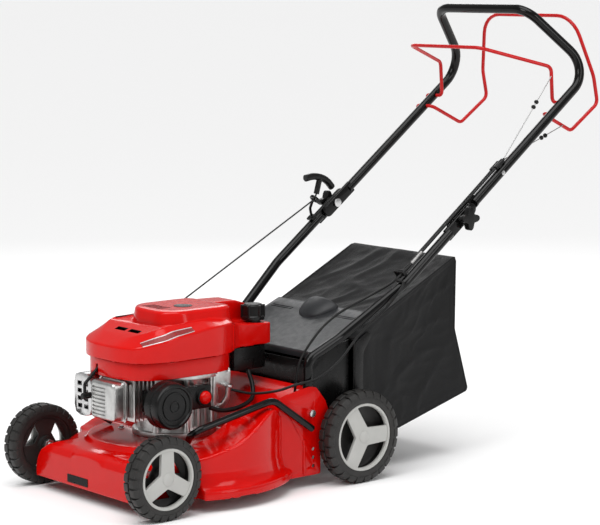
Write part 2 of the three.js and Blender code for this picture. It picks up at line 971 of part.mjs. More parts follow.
add(
  'breather_hose',
  softTube(
    [
      [FILTER_IN - 5, 174.5, 164],
      [FILTER_IN - 3, 200, 156],
      [100, 240, 156],
      [86, 284, 166],
      [68, 300, 186],
      [50, 304, 212 - GAP - 1],
    ],
    4.2,
    18,
    8,
  ),
  RUBBER,
);

// Lever that the brake cable pulls, on the crankcase's rear left boss.
function brakeLever() {
  const arm = rounded(
    [
      [48, CRANK_Y + 50],
      [112, CRANK_Y + 42],
      [112, CRANK_Y + 52],
      [62, CRANK_Y + 70],
      [50, CRANK_Y + 70],
    ],
    5,
    1,
  );
  return cut(slabZ(arm, 198, 202), rodZ(3 + RUN, 58, CRANK_Y + 60, 190, 210, 8));
}

add('brake_lever', brakeLever(), STEEL);

// ---------------------------------------------------------------- crankshaft and blade

const BLADE_Z = 50;
const BLADE_R = 186;

add('crankshaft', rodZ(12, 0, CRANK_Y, BLADE_Z + 12, BLOWER_TOP - 4, 16), STEEL);

function flywheel() {
  const vanes = [0, 1, 2, 3, 4, 5].map((k) =>
    box(46, 76, -1.5, 1.5, 240, 252).rotateZ((Math.PI * k) / 3),
  );
  return join(
    spunZ(
      [
        [12 + RUN, 232],
        [80, 232],
        [80, 241],
        [12 + RUN, 241],
      ],
      24,
    ),
    ...vanes,
  );
}

add('flywheel', flywheel(), CAST, [0, CRANK_Y, 0]);

// Hub that carries the blade and the drive pulley.
function bladeAdapter() {
  return cut(
    join(
      rodZ(22, 0, CRANK_Y, BLADE_Z + 4 + GAP, BELT_Z + 6, 16),
      rodZ(PULLEY_R, 0, CRANK_Y, BELT_Z - 5, BELT_Z + 5, 24),
    ),
    rodZ(12 + RUN, 0, CRANK_Y, BLADE_Z + 12 - GAP, 120, 16),
    rodZ(5 + RUN, 0, CRANK_Y, 40, BLADE_Z + 14, 8),
  );
}

add('blade_adapter', bladeAdapter(), CAST);

function blade() {
  const bar = slabX(
    outline([
      [CRANK_Y - 25, BLADE_Z],
      [CRANK_Y + 25, BLADE_Z],
      [CRANK_Y + 25, BLADE_Z + 4],
      [CRANK_Y - 25, BLADE_Z + 4],
    ]),
    -BLADE_R,
    BLADE_R,
  );
  const wing = [
    [-25, BLADE_Z],
    [-21, BLADE_Z],
    [-15, BLADE_Z + 12],
    [-19, BLADE_Z + 12],
  ];
  const wings = [1, -1].map((side) =>
    slabX(outline(wing.map(([y, z]) => [CRANK_Y - side * y, z])), ...span(side, 110, BLADE_R)),
  );
  return cut(join(bar, ...wings), rodZ(5 + RUN, 0, CRANK_Y, 40, 60, 8));
}

add('blade', blade(), STEEL);
add(
  'blade_bolt',
  join(
    rodZ(5, 0, CRANK_Y, BLADE_Z - 6, BLADE_Z + 11, 8),
    rodZ(14, 0, CRANK_Y, BLADE_Z - 4, BLADE_Z - GAP, 12),
    rodZ(10, 0, CRANK_Y, BLADE_Z - 12, BLADE_Z - 3, 6),
  ),
  ZINC,
);

// ---------------------------------------------------------------- rear wheel drive

function drivePulley() {
  return join(
    rodZ(PULLEY_R, 0, BELT_Y, BELT_Z - 5, BELT_Z + 5, 24),
    rodZ(6, 0, BELT_Y, BELT_Z, 112, 12),
  );
}

add('gearbox_pulley', drivePulley(), STEEL);

// A racetrack round both pulleys.
function beltShape(radius) {
  const points = [];
  for (let i = 0; i <= 12; i += 1) {
    const angle = (Math.PI * i) / 12;
    points.push([radius * Math.cos(angle), BELT_Y + radius * Math.sin(angle)]);
  }
  for (let i = 0; i <= 12; i += 1) {
    const angle = Math.PI + (Math.PI * i) / 12;
    points.push([radius * Math.cos(angle), CRANK_Y + radius * Math.sin(angle)]);
  }
  return outline(points);
}

add(
  'drive_belt',
  cut(
    slabZ(beltShape(PULLEY_R + BELT_T), BELT_Z - 3, BELT_Z + 3),
    slabZ(beltShape(PULLEY_R + 2 * GAP), BELT_Z - 5, BELT_Z + 5),
  ),
  RUBBER,
);

const GEARBOX_TOP = 126;

function gearboxHousing() {
  const body = rounded(
    [
      [384, 91],
      [446, 91],
      [446, 70],
      [476, 70],
      [476, GEARBOX_TOP],
      [384, GEARBOX_TOP],
    ],
    6,
    1,
  );
  return cut(
    join(slabX(body, -32, 32), rodZ(3, 22, 432, GEARBOX_TOP - 2, GEARBOX_TOP + 5, 8)),
    rodX(AXLE_R + RUN, -40, 40, WHEELBASE, REAR_R),
    rodZ(6 + RUN, 0, BELT_Y, 85, 113, 12),
  );
}

add('gearbox_housing', gearboxHousing(), CAST);

function clutchLever() {
  const arm = rounded(
    [
      [14, 424],
      [78, 424],
      [78, 434],
      [28, 441],
      [14, 441],
    ],
    4,
    1,
  );
  return cut(slabZ(arm, GEARBOX_TOP + GAP, GEARBOX_TOP + 4), rodZ(3 + RUN, 22, 432, 120, 140, 8));
}

add('clutch_lever', clutchLever(), STEEL);

// ---------------------------------------------------------------- chute, flap and bag

function dischargeChute() {
  const walls = SIDES.map(([, side]) =>
    slabX(
      outline([
        [374, CHUTE_FLOOR],
        [CHUTE_REAR, CHUTE_FLOOR],
        [CHUTE_REAR, 262],
        [HINGE_Y + 12, 248],
        [HINGE_Y - 8, 248],
        [374, 232],
      ]),
      ...span(side, CHUTE_IN, CHUTE_IN + 3),
    ),
  );
  return cut(
    join(
      ...walls,
      box(-CHUTE_IN - 1, CHUTE_IN + 1, 374, 377, 186, 232),
      box(-CHUTE_IN - 1, CHUTE_IN + 1, 374, CHUTE_REAR, CHUTE_FLOOR, CHUTE_FLOOR + 3),
    ),
    rodX(3 + RUN, -150, 150, HINGE_Y, HINGE_Z, 10),
  );
}

add('discharge_chute', dischargeChute(), BLACK_PLASTIC);
add('flap_hinge_rod', rodX(3, -143, 143, HINGE_Y, HINGE_Z, 8), STEEL);

const FLAP_T = 3;

function rearFlap() {
  const slope = Math.atan2(FLAP_REAR_Z - HINGE_Z - 6, FLAP_REAR_Y - HINGE_Y);
  const down = (d) => [d * Math.sin(slope), -d * Math.cos(slope)];
  const front = [HINGE_Y - 7, HINGE_Z + 6];
  const rear = [FLAP_REAR_Y, FLAP_REAR_Z];
  const below = ([y, z], d) => [y + down(d)[0], z + down(d)[1]];
  const panel = slabX(
    outline([front, rear, below(rear, FLAP_T), below(front, FLAP_T)]),
    -FLAP_HALF,
    FLAP_HALF,
  );
  const lip = slabX(
    outline([
      front,
      [HINGE_Y - 7, HINGE_Z - 6],
      [HINGE_Y - 4.5, HINGE_Z - 6],
      [HINGE_Y - 4, HINGE_Z + 6],
    ]),
    -FLAP_HALF,
    FLAP_HALF,
  );
  const cheeks = SIDES.map(([, side]) =>
    slabX(
      outline([
        front,
        rear,
        below(rear, 11),
        [HINGE_Y + 8, HINGE_Z - 4],
        [HINGE_Y, HINGE_Z - 7],
        [HINGE_Y - 7, HINGE_Z - 6],
      ]),
      ...span(side, FLAP_HALF - 3, FLAP_HALF),
    ),
  );
  return cut(
    join(panel, lip, ...cheeks, gripDome(slope)),
    rodX(3 + RUN, -150, 150, HINGE_Y, HINGE_Z, 10),
  );
}

const GRIP_HALF = 46;
const GRIP_HEIGHT = 19;
const GRIP_LENGTH = 52;

// Half dome at the rear edge that a hand lifts the flap by.
function gripDome(slope) {
  const count = 10;
  const rings = [];
  [0, 0.35, 0.65, 0.88, 1].forEach((share) => {
    const size = Math.sqrt(1 - share * share * 0.96);
    const points = [];
    for (let i = 0; i <= count; i += 1) {
      const angle = (Math.PI * i) / count;
      const across = GRIP_HALF * size * Math.cos(angle);
      const above = GRIP_HEIGHT * size * Math.sin(angle) - 1;
      points.push(new THREE.Vector3(across, above, GRIP_LENGTH * share));
    }
    rings.push(points);
  });
  const dome = loft(rings);
  return dome.rotateX(Math.PI / 2 + slope).translate(0, FLAP_REAR_Y, FLAP_REAR_Z - 1);
}

add('rear_flap', rearFlap(), DARK_PLASTIC);

function grassBag() {
  const side = (t) =>
    outline([
      [BAG_FRONT - (t > 0 ? 5 : 0), 114 + t],
      [BAG_FRONT - (t > 0 ? 5 : 0), 264 - t],
      [BAG_FRONT + t, 264 - t],
      [546, 300 - t],
      [747 - t, 400 - 1.5 * t],
      [745 - t, 256],
      [783 - t, 130 + t],
      [598, 79 + t],
      [520, 86 + t],
    ]);
  return cut(slabX(side(0), -BAG_HALF, BAG_HALF), slabX(side(3), -BAG_HALF + 3, BAG_HALF - 3));
}

add('grass_bag', grassBag(), FABRIC);

// ---------------------------------------------------------------- handle

const ALONG = new THREE.Vector3(0, Math.cos(HANDLE_ANGLE), Math.sin(HANDLE_ANGLE));
const ACROSS = new THREE.Vector3(0, -Math.sin(HANDLE_ANGLE), Math.cos(HANDLE_ANGLE));

// a point `s` up the handle from its pivot and `n` above the tube's axis
function onHandle(x, s, n = 0) {
  const point = new THREE.Vector3(x, PIVOT_Y, PIVOT_Z);
  return point.addScaledVector(ALONG, s).addScaledVector(ACROSS, n).toArray();
}

// a box lying along the handle
function handleBox(x0, x1, s0, s1, n0, n1) {
  return box(x0, x1, s0, s1, n0, n1).rotateX(HANDLE_ANGLE).translate(0, PIVOT_Y, PIVOT_Z);
}

const FLAT_GAP = 0.25;
const FLAT_PLANE = (UPPER_X + LOWER_X) / 2 - 1.5; // where the two flat ends meet

function upperTube() {
  const bend = [1087, 755.2];
  const pivots = SIDES.flatMap(([, side]) => [
    rodX(polygonR(4 + RUN, 8), ...span(side, 160, 210), PIVOT_Y, PIVOT_Z, 8),
  ]);
  const flats = SIDES.map(([, side]) =>
    handleBox(
      ...span(side, FLAT_PLANE - FLAT_GAP - FLAT_T, FLAT_PLANE - FLAT_GAP),
      -FLAT_REACH,
      54,
      -FLAT_W / 2,
      FLAT_W / 2,
    ),
  );
  const tube = bentTube(
    [
      onHandle(UPPER_X, 44),
      [UPPER_X, ...bend],
      [128, BAR_Y, BAR_Z],
      [-128, BAR_Y, BAR_Z],
      [-UPPER_X, ...bend],
      onHandle(-UPPER_X, 44),
    ],
    [52, 44, 44, 52],
    TUBE_R,
    10,
    Math.PI / 10,
  );
  const bailHoles = [BRAKE_PIVOT, DRIVE_PIVOT].map((pivot) =>
    rodX(polygonR(BAIL_R + RUN, 8), -210, UPPER_X + 6, ...pivot, 8),
  );
  return cut(join(tube, ...flats), ...pivots, ...bailHoles);
}

add('upper_tube', upperTube(), BLACK_PAINT);

SIDES.forEach(([name, side]) => {
  const tube = bentTube(
    [
      onHandle(side * LOWER_X, -44),
      [side * LOWER_X, 575, 368],
      [side * 156, 440, 272],
      [side * 153, 363.5, 238],
      [side * 153, 363, 126],
    ],
    [60, 60, 24],
    TUBE_R,
    10,
    Math.PI / 10,
  );
  const flat = handleBox(
    ...span(side, FLAT_PLANE + FLAT_GAP, FLAT_PLANE + FLAT_GAP + FLAT_T),
    -54,
    FLAT_REACH,
    -FLAT_W / 2,
    FLAT_W / 2,
  );
  add(
    `lower_tube_${name}`,
    cut(
      join(tube, flat),
      rodX(polygonR(4 + RUN, 8), ...span(side, 140, 220), PIVOT_Y, PIVOT_Z, 8),
      rodX(4 + RUN, ...span(side, 140, 170), 363, 139, 8),
    ),
    BLACK_PAINT,
  );
  const inner = FLAT_PLANE - FLAT_GAP - FLAT_T - GAP;
  add(
    `pivot_bolt_${name}`,
    join(
      rodX(4, ...span(side, inner - 2, 212), PIVOT_Y, PIVOT_Z, 8),
      rodX(9, ...span(side, inner - 4, inner), PIVOT_Y, PIVOT_Z, 12),
    ),
    ZINC,
  );
  add(
    `foot_bolt_${name}`,
    join(
      rodX(4, ...span(side, 141, 167), 363, 139, 8),
      rodX(7, ...span(side, DECK_HALF + GAP, 169.5), 363, 139, 10),
      rodX(6.5, ...span(side, 138.5, 143.5 - GAP), 363, 139, 6),
    ),
    ZINC,
  );
});

// Star knob with four lobes and a blind hole for the bolt, in its own frame.
function starKnob(side) {
  const points = [];
  for (let i = 0; i < 32; i += 1) {
    const angle = (2 * Math.PI * i) / 32;
    const radius = 17.5 + 5.5 * Math.cos(4 * angle);
    points.push([radius * Math.cos(angle), radius * Math.sin(angle)]);
  }
  return cut(
    join(slabX(outline(points), ...span(side, 7, 20)), rodX(10, ...span(side, 0, 8), 0, 0, 12)),
    rodX(4 + RUN, ...span(side, -1, 16.5), 0, 0, 8),
  );
}

const KNOB_X = FLAT_PLANE + FLAT_GAP + FLAT_T + GAP;
SIDES.forEach(([name, side]) => {
  add(`knob_${name}`, starKnob(side), BLACK_PLASTIC, [side * KNOB_X, PIVOT_Y, PIVOT_Z]);
});

// ---------------------------------------------------------------- control bails

// One wire: its left end stops inside the tube, its right end goes through and hooks down.
function bail(pivot, half, bends) {
  const right = half.map(([x, y, z]) => [-x, y, z]).reverse();
  const hook = [
    [-206, ...pivot],
    [-206, pivot[0] + 3, pivot[1] - 16],
  ];
  const corners = [[UPPER_X + 5, ...pivot], ...half, ...right, ...hook];
  return bentTube(corners, [...bends, ...[...bends].reverse(), 6], BAIL_R, 8, Math.PI / 6);
}

add(
  'brake_bail',
  bail(
    BRAKE_PIVOT,
    [
      [BAIL_X, ...BRAKE_PIVOT],
      [BAIL_X, 998, 763],
      [100, 855, 803],
    ],
    [10, 14, 22],
  ),
  RED_PAINT,
);
add(
  'drive_bail',
  bail(
    DRIVE_PIVOT,
    [
      [BAIL_X, ...DRIVE_PIVOT],
      [BAIL_X, 1058.5, 632],
      [BAIL_X, 1137, 685],
      [BAIL_X, 1124, 741],
      [126, 1095, 863],
    ],
    [10, 14, 16, 60, 56],
  ),
  RED_PAINT,
);

// ---------------------------------------------------------------- cables

const SHEATH_R = 2.5;
const WIRE_R = 0.8;
const BRAKE_RUN = [186, 15.5]; // X and height above the tube of the brake cable along the handle
const DRIVE_RUN = [170, 8];
const HOLDER_S = 150;

const alongRun = ([x, n], s) => onHandle(x, s, n);

// a bare wire with two crimped beads part of the way along, and the sheath it comes out of
function cable(from, to, beads, sheath, steps) {
  const wire = bentTube([from, to], 0, WIRE_R, 5);
  const crimps = beads.map((share) => {
    const centre = new THREE.Vector3(...from).lerp(new THREE.Vector3(...to), share);
    return new THREE.SphereGeometry(4, 8, 6).translate(...centre.toArray());
  });
  return join(wire, ...crimps, softTube(sheath, SHEATH_R, steps, 6));
}

add(
  'brake_cable',
  cable(
    alongRun(BRAKE_RUN, HOLDER_S + 4),
    [164.3, 994, 744],
    [0.63, 0.69],
    [
      alongRun(BRAKE_RUN, HOLDER_S + 8),
      alongRun(BRAKE_RUN, HOLDER_S - 30),
      alongRun(BRAKE_RUN, 20),
      alongRun(BRAKE_RUN, -60),
      alongRun(BRAKE_RUN, -170),
      alongRun(BRAKE_RUN, -198),
      [200, 560, 370],
      [203, 546, 354],
      [190, 520, 319],
      [176, 480, 285],
      [171, 425, 232],
      [171, 372, 205],
      [159, 330, 196],
      [146, 294, 187],
      [126, 250, 185],
      [110, 216, 194],
    ],
    34,
  ),
  RUBBER,
);
add(
  'drive_cable',
  cable(
    alongRun(DRIVE_RUN, HOLDER_S + 4),
    [164.4, 1030, 644.5],
    [0.66, 0.72],
    [
      alongRun(DRIVE_RUN, HOLDER_S + 8),
      alongRun(DRIVE_RUN, HOLDER_S - 30),
      alongRun(DRIVE_RUN, 20),
      alongRun(DRIVE_RUN, -60),
      alongRun(DRIVE_RUN, -170),
      alongRun(DRIVE_RUN, -198),
      [152, 520, 344],
      [146, 440, 314],
      [145, 392, 282],
      [144.5, 350, 232],
      [143, 342, 190],
      [136, 346, 160],
      [128, 361, 143],
      [126, 368, 128],
      [110, 388, 120],
      [77, 427, 120.5],
    ],
    36,
  ),
  RUBBER,
);

// the hole that a sheath needs along the handle
function sheathBore(x, s0, s1, n) {
  const bore = rodY(SHEATH_R + 1.5, x, s0, s1, n, 8);
  return bore.rotateX(HANDLE_ANGLE).translate(0, PIVOT_Y, PIVOT_Z);
}

// Plastic block on the upper tube that both sheaths pass through.
function cableHolder() {
  const [bx, bn] = BRAKE_RUN;
  const [dx, dn] = DRIVE_RUN;
  const s0 = HOLDER_S - 22;
  const s1 = HOLDER_S + 4;
  const bore = (x, n) => sheathBore(x, s0 - 5, s1 + 5, n);
  return cut(
    join(
      handleBox(dx - 5, bx + 5.5, s0, s1, TUBE_R + GAP, bn + 5),
      handleBox(dx - 5, UPPER_X - TUBE_R - GAP, s0, s1, dn - 5, TUBE_R + 1),
    ),
    bore(bx, bn),
    bore(dx, dn),
  );
}

add('cable_holder', cableHolder(), BLACK_PLASTIC);

// Clip that ties the sheaths to the lower tube.
function cableClip() {
  const [bx, bn] = BRAKE_RUN;
  const [dx, dn] = DRIVE_RUN;
  const s0 = -182;
  const s1 = -174;
  const bore = (x, n) => sheathBore(x, s0 - 5, s1 + 5, n);
  return cut(
    join(
      handleBox(dx - 5, bx + 6, s0, s1, TUBE_R + GAP + 0.5, bn + 5),
      handleBox(dx - 5, dx + 5, s0, s1, dn - 5, bn + 5),
    ),
    bore(bx, bn),
    bore(dx, dn),
  );
}

add('cable_clip', cableClip(), BLACK_PLASTIC);

// ---------------------------------------------------------------- recoil starter

const GRIP_LEAN = -0.28;
const GRIP_FOOT = [GUIDE[0], GUIDE[1] + 4, GUIDE[2] + 10];

function ropeGuide() {
  const eye = spunZ(
    [
      [6, -2.5],
      [11, -2.5],
      [11, 2.5],
      [6, 2.5],
    ],
    12,
  )
    .rotateX(-0.75)
    .translate(...GUIDE);
  const foot = handleBox(-LOWER_X - 8, -LOWER_X + 8, -70, -54 - GAP, TUBE_R + GAP, TUBE_R + 6);
  const post = bentTube(
    [onHandle(-LOWER_X, -62, TUBE_R + 3), onHandle(-LOWER_X + 6, -58, 34), [-173, 655, 494]],
    10,
    3,
    8,
  );
  return join(foot, post, eye);
}

add('rope_guide', ropeGuide(), BLACK_PAINT);

add(
  'starter_rope',
  bentTube([ROPE_INSIDE, ROPE_ENTRY, GUIDE, towards(GUIDE, GRIP_FOOT, 9)], [10, 8], 1.6, 6),
  RUBBER,
);

// T-shaped pull, in its own frame with the rope's direction along Z.
function starterGrip() {
  const bar = softTube(
    [
      [0, -38, 24],
      [0, -20, 32],
      [0, 0, 35],
      [0, 20, 32],
      [0, 38, 22],
    ],
    7.5,
    10,
    8,
  );
  return join(bar, rodZ(6, 0, 0, 0, 34, 8));
}

const grip = new THREE.Group();
grip.position.set(...GRIP_FOOT);
grip.rotation.x = GRIP_LEAN;
const gripMesh = new THREE.Mesh(toGeometry(starterGrip()), BLACK_PLASTIC);
gripMesh.name = 'starter_grip';
grip.add(gripMesh);
mower.add(grip);

export default mower;
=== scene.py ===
# The finished look of a petrol lawn mower, built over its CAD frame.
# Metres, in the frame's own axes: +Z up, the mower drives towards -Y, +X is its left side.
# Sizes below are in millimetres and are turned into metres by `at` and `MM`.

import json
import math

import bmesh
import bpy
from mathutils import Matrix, Vector, noise


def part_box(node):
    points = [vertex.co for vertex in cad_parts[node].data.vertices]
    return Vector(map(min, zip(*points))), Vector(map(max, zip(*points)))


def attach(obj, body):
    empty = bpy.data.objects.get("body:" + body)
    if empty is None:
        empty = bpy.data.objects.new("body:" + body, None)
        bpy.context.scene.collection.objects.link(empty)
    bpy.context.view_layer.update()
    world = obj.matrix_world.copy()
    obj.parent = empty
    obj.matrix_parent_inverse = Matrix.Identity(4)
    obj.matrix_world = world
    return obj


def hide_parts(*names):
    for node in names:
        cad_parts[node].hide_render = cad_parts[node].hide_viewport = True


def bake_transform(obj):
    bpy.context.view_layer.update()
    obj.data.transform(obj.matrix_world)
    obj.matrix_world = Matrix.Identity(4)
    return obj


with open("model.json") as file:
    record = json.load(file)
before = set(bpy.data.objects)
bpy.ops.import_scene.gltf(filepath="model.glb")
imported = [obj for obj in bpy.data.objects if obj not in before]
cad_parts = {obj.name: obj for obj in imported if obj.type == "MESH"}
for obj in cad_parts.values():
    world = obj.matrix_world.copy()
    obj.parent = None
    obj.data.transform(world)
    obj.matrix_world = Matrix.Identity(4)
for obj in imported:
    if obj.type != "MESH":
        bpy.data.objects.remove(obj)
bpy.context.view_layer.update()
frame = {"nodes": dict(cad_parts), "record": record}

MM = 0.001
PI = math.pi


def middle(node, axis):
    low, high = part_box(node)
    return (low[axis] + high[axis]) / 2


# The frame's Y of the front axle, from which all the Y sizes below are counted.
FRONT_AXLE_Y = middle("front_wheel_left", 1)


def at(x, y, z):
    """A point given in millimetres, with Y counted from the front axle."""
    return Vector((x * MM, y * MM + FRONT_AXLE_Y, z * MM))


# ------------------------------------------------------------------ driving sizes, millimetres

FRONT_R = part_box("front_wheel_left")[1][2] / 2 / MM
REAR_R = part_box("rear_wheel_left")[1][2] / 2 / MM
WHEEL_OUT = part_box("front_wheel_left")[1][0] / MM
WHEEL_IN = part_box("front_wheel_left")[0][0] / MM
WHEELBASE = (middle("rear_wheel_left", 1) - FRONT_AXLE_Y) / MM
FRONT_RIM = 56
REAR_RIM = 65

DECK_HALF = 165
DECK_FRONT = -31
DECK_BOTTOM = 22
DECK_TOP = 96
CRANK_Y = 168
DRUM_R = 207
FLANGE_R = 221
PLATFORM_R = 160
PLATFORM_TOP = 106
CHUTE_FLOOR = 131
ROOF_REAR = 364
ROOF_TOP = 189

SHROUD_TOP = 342
BLOWER_TOP = 258
TANK_Y = 332

TUBE_R = 9.5
HANDLE_ANGLE = math.radians(37.1)
PIVOT_Y = 724
PIVOT_Z = 480.7
UPPER_X = 185.5
LOWER_X = 192
BAIL_R = 3.75
BAIL_X = 160
BRAKE_PIVOT = (1003, 691.7)
DRIVE_PIVOT = (975, 670.5)
BAR_Y = 958
BAR_Z = 878

HINGE_Y = 392
HINGE_Z = 240
FLAP_HALF = 135
FLAP_REAR_Y = 533
FLAP_REAR_Z = 308
BAG_HALF = 150
BAG_FRONT = 482


# ------------------------------------------------------------------ materials


def new_material(name):
    material = bpy.data.materials.new(name)
    material.use_nodes = True
    nodes = material.node_tree.nodes
    nodes.clear()
    output = nodes.new("ShaderNodeOutputMaterial")
    shader = nodes.new("ShaderNodeBsdfPrincipled")
    material.node_tree.links.new(shader.outputs[0], output.inputs[0])
    return material, nodes, material.node_tree.links, shader


def noise_node(nodes, links, scale, detail=3.0, stretch=(1, 1, 1)):
    """Noise in object space; `scale` is features per metre."""
    place = nodes.new("ShaderNodeTexCoord")
    mapping = nodes.new("ShaderNodeMapping")
    mapping.inputs["Scale"].default_value = stretch
    texture = nodes.new("ShaderNodeTexNoise")
    texture.inputs["Scale"].default_value = scale
    texture.inputs["Detail"].default_value = detail
    links.new(place.outputs["Object"], mapping.inputs[0])
    links.new(mapping.outputs[0], texture.inputs["Vector"])
    return texture


def ramp_node(nodes, links, source, stops):
    ramp = nodes.new("ShaderNodeValToRGB")
    elements = ramp.color_ramp.elements
    while len(elements) < len(stops):
        elements.new(0.5)
    for element, (place, color) in zip(elements, stops):
        element.position = place
        element.color = (*color, 1)
    links.new(source, ramp.inputs[0])
    return ramp


def grey(value):
    return (value, value, value)


def finish_material(
    name,
    color,
    roughness,
    metallic=0.0,
    mottle=0.12,
    mottle_scale=30,
    grain_scale=1500,
    grain_depth=0.05,
    grain_height=0.0003,
    rough_spread=0.06,
    coat=0.0,
    stretch=(1, 1, 1),
    specular=0.5,
):
    """Broad colour mottling, uneven roughness and a fine surface grain."""
    material, nodes, links, shader = new_material(name)
    broad = noise_node(nodes, links, mottle_scale, 4.0)
    dark = tuple(channel * (1 - mottle) for channel in color)
    light = tuple(min(1.0, channel * (1 + mottle)) for channel in color)
    tint = ramp_node(nodes, links, broad.outputs["Fac"], [(0.3, dark), (0.7, light)])
    links.new(tint.outputs["Color"], shader.inputs["Base Color"])
    patches = noise_node(nodes, links, mottle_scale * 3, 3.0, stretch)
    low = max(0.02, roughness - rough_spread)
    rough = ramp_node(
        nodes, links, patches.outputs["Fac"], [(0.3, grey(low)), (0.7, grey(roughness + rough_spread))]
    )
    links.new(rough.outputs["Color"], shader.inputs["Roughness"])
    grain = noise_node(nodes, links, grain_scale, 2.0, stretch)
    bump = nodes.new("ShaderNodeBump")
    bump.inputs["Strength"].default_value = grain_depth
    bump.inputs["Distance"].default_value = grain_height
    links.new(grain.outputs["Fac"], bump.inputs["Height"])
    links.new(bump.outputs[0], shader.inputs["Normal"])
    shader.inputs["Metallic"].default_value = metallic
    shader.inputs["Coat Weight"].default_value = coat
    shader.inputs["Coat Roughness"].default_value = 0.06
    shader.inputs["Specular IOR Level"].default_value = specular
    return material


def fabric_material():
    """Coated black cloth: a plain weave about 1.2 mm wide, with creases that catch the light, and painted
    shade: its colour is darker in the fold hollows and lighter on the ridges.
    """
    material, nodes, links, shader = new_material("bag_cloth")
    threads = []
    for direction in ("X", "Z", "Y"):
        place = nodes.new("ShaderNodeTexCoord")
        wave = nodes.new("ShaderNodeTexWave")
        wave.bands_direction = direction
        wave.wave_profile = "SIN"
        wave.inputs["Scale"].default_value = 260
        wave.inputs["Distortion"].default_value = 0.4
        links.new(place.outputs["Object"], wave.inputs["Vector"])
        threads.append(wave)
    mix = nodes.new("ShaderNodeMath")
    mix.operation = "ADD"
    links.new(threads[0].outputs["Fac"], mix.inputs[0])
    links.new(threads[1].outputs["Fac"], mix.inputs[1])
    total = nodes.new("ShaderNodeMath")
    total.operation = "ADD"
    links.new(mix.outputs[0], total.inputs[0])
    links.new(threads[2].outputs["Fac"], total.inputs[1])
    creases = noise_node(nodes, links, 14, 5.0, (1, 1, 0.6))
    creases.inputs["Distortion"].default_value = 1.2
    weave = nodes.new("ShaderNodeBump")
    weave.inputs["Strength"].default_value = 0.25
    weave.inputs["Distance"].default_value = 0.0004
    links.new(total.outputs[0], weave.inputs["Height"])
    fold = nodes.new("ShaderNodeBump")
    fold.inputs["Strength"].default_value = 0.35
    fold.inputs["Distance"].default_value = 0.006
    links.new(creases.outputs["Fac"], fold.inputs["Height"])
    links.new(weave.outputs[0], fold.inputs["Normal"])
    links.new(fold.outputs[0], shader.inputs["Normal"])
    # Painted shade: the base colour follows the crease field, darker in the fold hollows and lighter on the
    # ridges.
    painted_crease_shade = [(0.25, (0.004, 0.004, 0.0042)), (0.75, (0.011, 0.011, 0.0115))]
    tint = ramp_node(nodes, links, creases.outputs["Fac"], painted_crease_shade)
    links.new(tint.outputs["Color"], shader.inputs["Base Color"])
    rough = ramp_node(nodes, links, creases.outputs["Fac"], [(0.3, grey(0.5)), (0.7, grey(0.72))])
    links.new(rough.outputs["Color"], shader.inputs["Roughness"])
    shader.inputs["Specular IOR Level"].default_value = 0.22
    shader.inputs["Sheen Weight"].default_value = 0.03
    return material


ENAMEL = finish_material(
    "red_enamel", (0.56, 0.002, 0.001), 0.13, mottle=0.03, grain_scale=160, grain_depth=0.04, coat=0.2,
    specular=0.15,
)
RED_MOULDED = finish_material(
    "red_moulded", (0.6, 0.003, 0.0015), 0.2, mottle=0.03, grain_scale=300, grain_depth=0.04, coat=0.18,
    specular=0.15,
)
TUBE_PAINT = finish_material(
    "black_powder_coat", grey(0.0025), 0.16, mottle=0.2, grain_scale=700, grain_depth=0.08, coat=0.08,
    specular=0.2,
)
BAIL_PAINT = finish_material(
    "red_wire_coat", (0.5, 0.004, 0.005), 0.28, mottle=0.06, grain_scale=600, coat=0.1, specular=0.25,
)
BLACK_MOULDED = finish_material(
    "black_moulded", grey(0.005), 0.3, mottle=0.2, grain_scale=1800, grain_depth=0.2, specular=0.25,
)
FLAP_MOULDED = finish_material(
    "charcoal_moulded", (0.018, 0.019, 0.021), 0.4, mottle=0.08, grain_scale=1400, grain_depth=0.3,
    specular=0.3,
)
CAP_MOULDED = finish_material(
    "grey_moulded", (0.44, 0.44, 0.42), 0.38, mottle=0.04, grain_scale=1600, grain_depth=0.2,
)
WHEEL_MOULDED = finish_material(
    "wheel_black", (0.017, 0.016, 0.015), 0.5, mottle=0.25, grain_scale=1200, grain_depth=0.35,
    specular=0.4,
)
RUBBER = finish_material(
    "black_rubber", grey(0.004), 0.4, mottle=0.2, grain_scale=1500, grain_depth=0.2, specular=0.25,
)
CAST = finish_material("cast_aluminium", (0.56, 0.56, 0.55), 0.34, 1.0, 0.16, 60, 900, 0.35, 0.0005)
CAST_DARK = finish_material("cast_shadowed", (0.28, 0.275, 0.27), 0.42, 1.0, 0.25, 60, 900, 0.4, 0.0005)
STEEL = finish_material("bare_steel", (0.4, 0.4, 0.4), 0.3, 1.0, 0.1, 40, 1200, 0.1, stretch=(1, 8, 1))
ZINC = finish_material("zinc_plate", (0.62, 0.62, 0.62), 0.26, 1.0, 0.1, 50, 1400, 0.12)
DECAL = finish_material("silver_film", (0.55, 0.55, 0.56), 0.3, 0.3, 0.1, 80, 1200, 0.05)
DECAL_DARK = finish_material("dark_film", (0.25, 0.02, 0.02), 0.3, 0.0, 0.1, 80, 1200, 0.05)
PLATE_BLACK = finish_material(
    "plate_black", grey(0.003), 0.3, mottle=0.1, grain_scale=900, grain_depth=0.05, specular=0.12,
)
ROPE = finish_material(
    "braided_rope", grey(0.012), 0.6, mottle=0.35, mottle_scale=900, grain_scale=1100, grain_depth=0.5,
)
CLOTH = fabric_material()


# ------------------------------------------------------------------ mesh helpers


def object_from(name, vertices, faces):
    mesh = bpy.data.meshes.new(name)
    mesh.from_pydata([tuple(v) for v in vertices], [], faces)
    mesh.update()
    made = bpy.data.objects.new(name, mesh)
    bpy.context.scene.collection.objects.link(made)
    return made


def clean_normals(made):
    shape = bmesh.new()
    shape.from_mesh(made.data)
    bmesh.ops.remove_doubles(shape, verts=shape.verts, dist=0.00002)
    bmesh.ops.recalc_face_normals(shape, faces=shape.faces)
    shape.to_mesh(made.data)
    shape.free()


